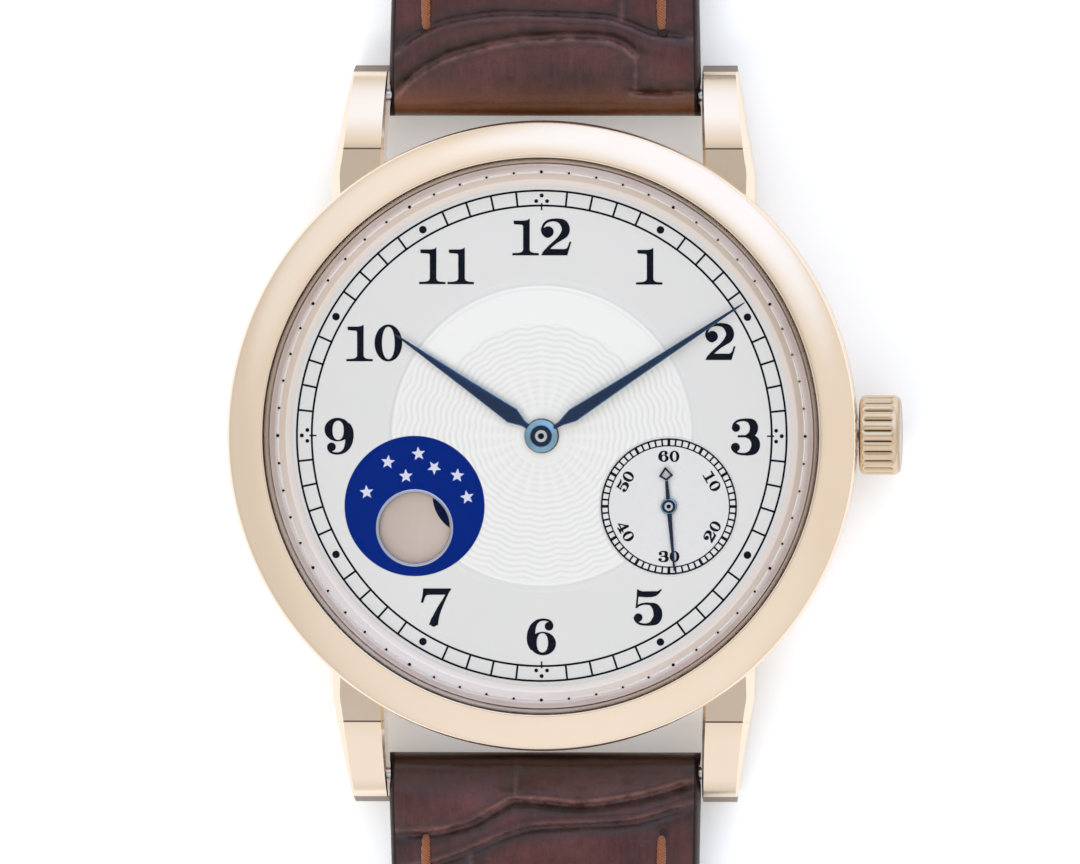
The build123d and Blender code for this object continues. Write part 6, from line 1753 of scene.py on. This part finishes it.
def rounded_rect(hw, hh, r, n, cz):
    """n points round a rounded rectangle, spaced by length, starting at the middle of the top, clockwise."""
    segs = [("l", (0, hh), (hw - r, hh)), ("a", (hw - r, hh - r), 90, 0), ("l", (hw, hh - r), (hw, -hh + r)), ("a", (hw - r, -hh + r), 0, -90),
            ("l", (hw - r, -hh), (-hw + r, -hh)), ("a", (-hw + r, -hh + r), -90, -180), ("l", (-hw, -hh + r), (-hw, hh - r)),
            ("a", (-hw + r, hh - r), 180, 90), ("l", (-hw + r, hh), (0, hh))]
    pts = []
    for s in segs:
        if s[0] == "l":
            a, b = np.array(s[1]), np.array(s[2])
            k = max(2, int(np.linalg.norm(b - a) / 0.12))
            pts += [tuple(a + (b - a) * i / k) for i in range(k)]
        else:
            c, a0, a1 = s[1], s[2], s[3]
            k = max(3, int(r * math.pi / 2 / 0.12))
            pts += [(c[0] + r * math.cos(math.radians(a0 + (a1 - a0) * i / k)), c[1] + r * math.sin(math.radians(a0 + (a1 - a0) * i / k))) for i in range(k)]
    pts = np.asarray(pts + [pts[0]])
    s = np.r_[0, np.cumsum(np.linalg.norm(np.diff(pts, axis=0), axis=1))]
    q = np.linspace(0, s[-1], n, endpoint=False)
    out = np.stack([np.interp(q, s, pts[:, 0]), np.interp(q, s, pts[:, 1]) + cz], -1)
    return out


def keeper(name, y0, body, node, seed):
    n = 260
    outer = rounded_rect(9.47, 3.07, 1.25, n, 3.1)
    inner = rounded_rect(8.45, 2.25, 0.55, n, 3.1)
    sec = []
    wd = 4.5
    ys = np.concatenate([[0.0, 0.03, 0.12, 0.28], np.linspace(0.5, wd - 0.5, 22), [wd - 0.28, wd - 0.12, wd - 0.03, wd]])
    out_f = np.concatenate([[0.50, 0.78, 0.93, 0.985], np.ones(22), [0.985, 0.93, 0.78, 0.50]])
    K = len(ys)
    V, A = [], []
    s_len = np.arange(n) * (52.0 / n)
    U, Yg = np.meshgrid(s_len, ys, indexing="ij")
    nz = value_noise(U, Yg, 0.7, seed) * 0.025 + value_noise(U, Yg, 2.1, seed + 1) * 0.012
    cross = np.minimum(np.abs((U + 2.2) % 5.2 - 2.6), 2.6)
    rel = -0.16 * np.exp(-(cross / 0.16) ** 2) - 0.05 * np.exp(-cross / 0.5)
    rib = -0.05 * np.exp(-((Yg - 0.85) / 0.14) ** 2) - 0.05 * np.exp(-((Yg - wd + 0.85) / 0.14) ** 2)
    for i in range(n):
        o, q = outer[i], inner[i]
        d = o - q
        L = np.linalg.norm(d)
        for k in range(K):
            edge = 1.0 if 3 < k < K - 4 else 0.4
            f = out_f[k] + ((nz[i, k] + rel[i, k] + rib[i, k]) * edge - 0.03) / L
            p = q + d * f
            V.append((p[0], y0 + ys[k], p[1]))
            # scale_top falls near the cross creases, which the leather darkens as painted shade
            A.append(1 - math.exp(-(cross[i, k] / 0.6) ** 1.5))
        for k in range(K - 1, -1, -1):
            f = (1 - out_f[k]) * 0.6
            p = q + d * min(f, 0.48)
            V.append((p[0], y0 + ys[k], p[1]))
            A.append(0.3)
    m = 2 * K
    i, j = np.meshgrid(np.arange(n), np.arange(m), indexing="ij")
    i2, j2 = (i + 1) % n, (j + 1) % m
    quads = np.stack([i * m + j, i * m + j2, i2 * m + j2, i2 * m + j], -1).reshape(-1, 4)
    me = quad_mesh(name, V, quads)
    at = me.attributes.new("scale_top", "FLOAT", "POINT")
    at.data.foreach_set("value", np.asarray(A, dtype=np.float32))
    for key in ("nose_painted_highlight", "lip", "shade"):
        at = me.attributes.new(key, "FLOAT", "POINT")
        at.data.foreach_set("value", np.zeros(len(A), dtype=np.float32))
    idx = np.zeros((n, m), dtype=np.int32)
    idx[:, K:2 * K - 1] = 1
    o = link_mesh(name, me, [m_leather_painted_light, m_lining], body, True, (node,), 60)
    me.polygons.foreach_set("material_index", idx.ravel())
    bm = bmesh.new()
    bm.from_mesh(me)
    bmesh.ops.recalc_face_normals(bm, faces=bm.faces)
    bm.to_mesh(me)
    bm.free()
    return o


keeper("keeper_fixed_leather", 84.0, "upper_strap", "fixed_keeper", 41)
keeper("keeper_free_leather", 70.0, "keeper_body", "free_keeper", 53)

# ------------------------------------------------------------------ materials on the CAD pieces
barrel_at = (1.6305599841458809, 6.0853327056211315)
plan = {
    "case_band": m_gold_band, "lugs": m_gold, "bezel": m_gold, "flange_ring": m_gold_flange, "crown": m_gold_crown_painted_shade, "caseback_ring": m_gold,
    "moon_corrector": m_gold, "buckle_frame": m_gold, "buckle_tang": m_gold, "moon_window_ring": m_window,
    "front_crystal": m_glass, "caseback_crystal": m_glass_back, "crystal_gasket": m_gasket_clear, "caseback_gasket": m_rubber, "crown_gasket": m_rubber,
    "moon_sky_plate": m_enamel, "moon_disc": m_moon, "main_plate": m_plate_in, "three_quarter_plate": m_ribbed_painted_shade, "pallet_bridge": m_plate_in,
    "balance_cock": m_cock, "jewels": m_ruby, "plate_screws": m_screw, "hairspring": m_screw, "mainspring": m_steel,
    "centre_wheel": make_snailed("centre_wheel_grain", (0, 0), (0.78, 0.57, 0.26), (0.86, 0.66, 0.34)),
    "third_wheel": m_gilt, "fourth_wheel": m_gilt, "barrel": m_gilt, "balance_wheel": m_chaton, "hour_wheel": m_gilt, "minute_wheel": m_gilt,
    "moon_day_wheel": m_gilt,
    "ratchet_wheel": make_snailed("ratchet_sunburst", barrel_at, (0.60, 0.61, 0.62), (0.70, 0.70, 0.71), 2.4),
    "crown_wheel": make_snailed("crown_wheel_sunburst", (7.6, 0.0), (0.60, 0.61, 0.62), (0.70, 0.70, 0.71), 2.4),
}
for name, o in nodes.items():
    mat = plan.get(name, m_steel)
    o.data.materials.clear()
    o.data.materials.append(mat)

# ------------------------------------------------------------------ floor, light and camera
floor = Solid()
floor.prism([(-900, -900), (900, -900), (900, 900), (-900, 900)], -6.0, -0.02)
bf = Build("floor_paper")
vf = bf.coords()
nf = bf.noise(vf, 0.05, 3.0)
gf = bf.noise(vf, 3.0, 4.0)
bf.set(color=bf.mix(nf, (0.80, 0.80, 0.80), (0.83, 0.83, 0.83)), rough=bf.remap(gf, 0.7, 0.85), spec=0.1)
bf.p.inputs["Emission Color"].default_value = (1.0, 1.0, 1.0, 1.0)
bf.link(bf.remap(nf, 0.25, 0.28), bf.p.inputs["Emission Strength"])

me = floor.mesh("studio_floor")
me.materials.append(bf.m)
floor_o = bpy.data.objects.new("studio_floor", me)
scene.collection.objects.link(floor_o)

world = bpy.data.worlds.new("studio")
scene.world = world
world.use_nodes = True
wt = world.node_tree
wt.nodes.clear()
wo = wt.nodes.new("ShaderNodeOutputWorld")
bg = wt.nodes.new("ShaderNodeBackground")
tc = wt.nodes.new("ShaderNodeTexCoord")


def wmath(op, x, y=None, z=None):
    n = wt.nodes.new("ShaderNodeMath")
    n.operation = op
    for val, sock in zip((x, y, z), n.inputs):
        if val is None:
            continue
        if isinstance(val, (int, float)):
            sock.default_value = val
        else:
            wt.links.new(val, sock)
    return n.outputs[0]


def wdot(v):
    n = wt.nodes.new("ShaderNodeVectorMath")
    n.operation = "DOT_PRODUCT"
    wt.links.new(tc.outputs["Generated"], n.inputs[0])
    n.inputs[1].default_value = Vector(v).normalized()
    return n.outputs["Value"]


def wrange(fac, a0, a1, b0, b1):
    n = wt.nodes.new("ShaderNodeMapRange")
    n.interpolation_type = "SMOOTHSTEP"
    n.inputs["From Min"].default_value = a0
    n.inputs["From Max"].default_value = a1
    n.inputs["To Min"].default_value = b0
    n.inputs["To Max"].default_value = b1
    wt.links.new(fac, n.inputs["Value"])
    return n.outputs[0]


up_z = wdot((0, 0, 1))
tent = wrange(up_z, 0.02, 0.30, 0.80, 0.93)
left_side = wrange(wdot((-0.95, -0.05, 0.30)), 0.30, 0.98, 1.0, 0.88)
front = wrange(wdot((0.0, -0.80, 0.60)), 0.60, 0.97, 1.0, 1.08)
glow = wrange(wdot((0.36, 0.74, 0.57)), math.cos(math.radians(44)), math.cos(math.radians(14)), 0.0, 1.0)
lens_hole = wrange(wdot((math.tan(math.radians(3.3)), math.tan(math.radians(1.5)), 1.0)), math.cos(math.radians(16)), math.cos(math.radians(4.5)), 1.0, 0.60)
upper_left = wrange(wdot((-0.54, 0.54, 0.64)), math.cos(math.radians(34)), math.cos(math.radians(10)), 0.0, 1.0)
bright = wmath("MULTIPLY", wmath("MULTIPLY", tent, lens_hole), wmath("MULTIPLY", left_side, front))
bright = wmath("MULTIPLY", bright, wmath("MULTIPLY_ADD", upper_left, 0.12, 1.0))
cool = wrange(wdot((0.0, -0.80, 0.60)), 0.60, 0.97, 0.0, 0.13)
cool = wmath("ADD", wmath("ADD", glow, cool), wmath("MULTIPLY", upper_left, 0.22))
wt.links.new(bright, bg.inputs["Strength"])
bg.inputs["Color"].default_value = (1.0, 0.995, 0.985, 1)
bg2 = wt.nodes.new("ShaderNodeBackground")
bg2.inputs["Color"].default_value = (0.22, 0.42, 0.78, 1)
wt.links.new(cool, bg2.inputs["Strength"])
both = wt.nodes.new("ShaderNodeAddShader")
wt.links.new(bg.outputs[0], both.inputs[0])
wt.links.new(bg2.outputs[0], both.inputs[1])
wt.links.new(both.outputs[0], wo.inputs["Surface"])


def area(name, pos, target, size, energy, color=(1, 1, 1)):
    li = bpy.data.lights.new(name, "AREA")
    li.shape = "RECTANGLE"
    li.size, li.size_y = size
    li.energy = energy
    li.color = color
    o = bpy.data.objects.new(name, li)
    scene.collection.objects.link(o)
    o.location = pos
    o.rotation_euler = (Vector(target) - Vector(pos)).to_track_quat("-Z", "Y").to_euler()
    o.visible_glossy = False
    return o


area("key_softbox", (-0.30, -0.62, 0.66), (0, 0, 0), (0.45, 0.30), 2.2)
area("left_softbox", (-0.75, 0.10, 0.45), (0, 0, 0), (0.25, 0.60), 0.7)
area("back_softbox", (0.05, 0.80, 0.62), (0, 0, 0), (0.60, 0.26), 0.5)

cam = bpy.data.cameras.new("camera")
cam.sensor_width = 36.0
D = 1.6
SCALE = 17.52
cam.lens = 36.0 * (D / MM) / (1080.0 / SCALE)
cam.clip_start, cam.clip_end = 0.01, 10.0
cam_o = bpy.data.objects.new("camera", cam)
scene.collection.objects.link(cam_o)
tx, ty = math.radians(3.3), math.radians(1.5)
direction = Vector((math.tan(tx), math.tan(ty), 1.0)).normalized()
target = Vector((-0.094 * MM, 0.22 * MM, DIAL_Z * MM))
cam_o.location = target + direction * D
back = direction
right = Vector((0, 1, 0)).cross(back).normalized()
upv = back.cross(right)
from mathutils import Matrix
rot = Matrix((right, upv, back)).transposed()
cam_o.rotation_euler = rot.to_euler()
scene.camera = cam_o
scene.view_settings.view_transform = "Standard"
scene.view_settings.look = "None"
scene.view_settings.exposure = 0.0
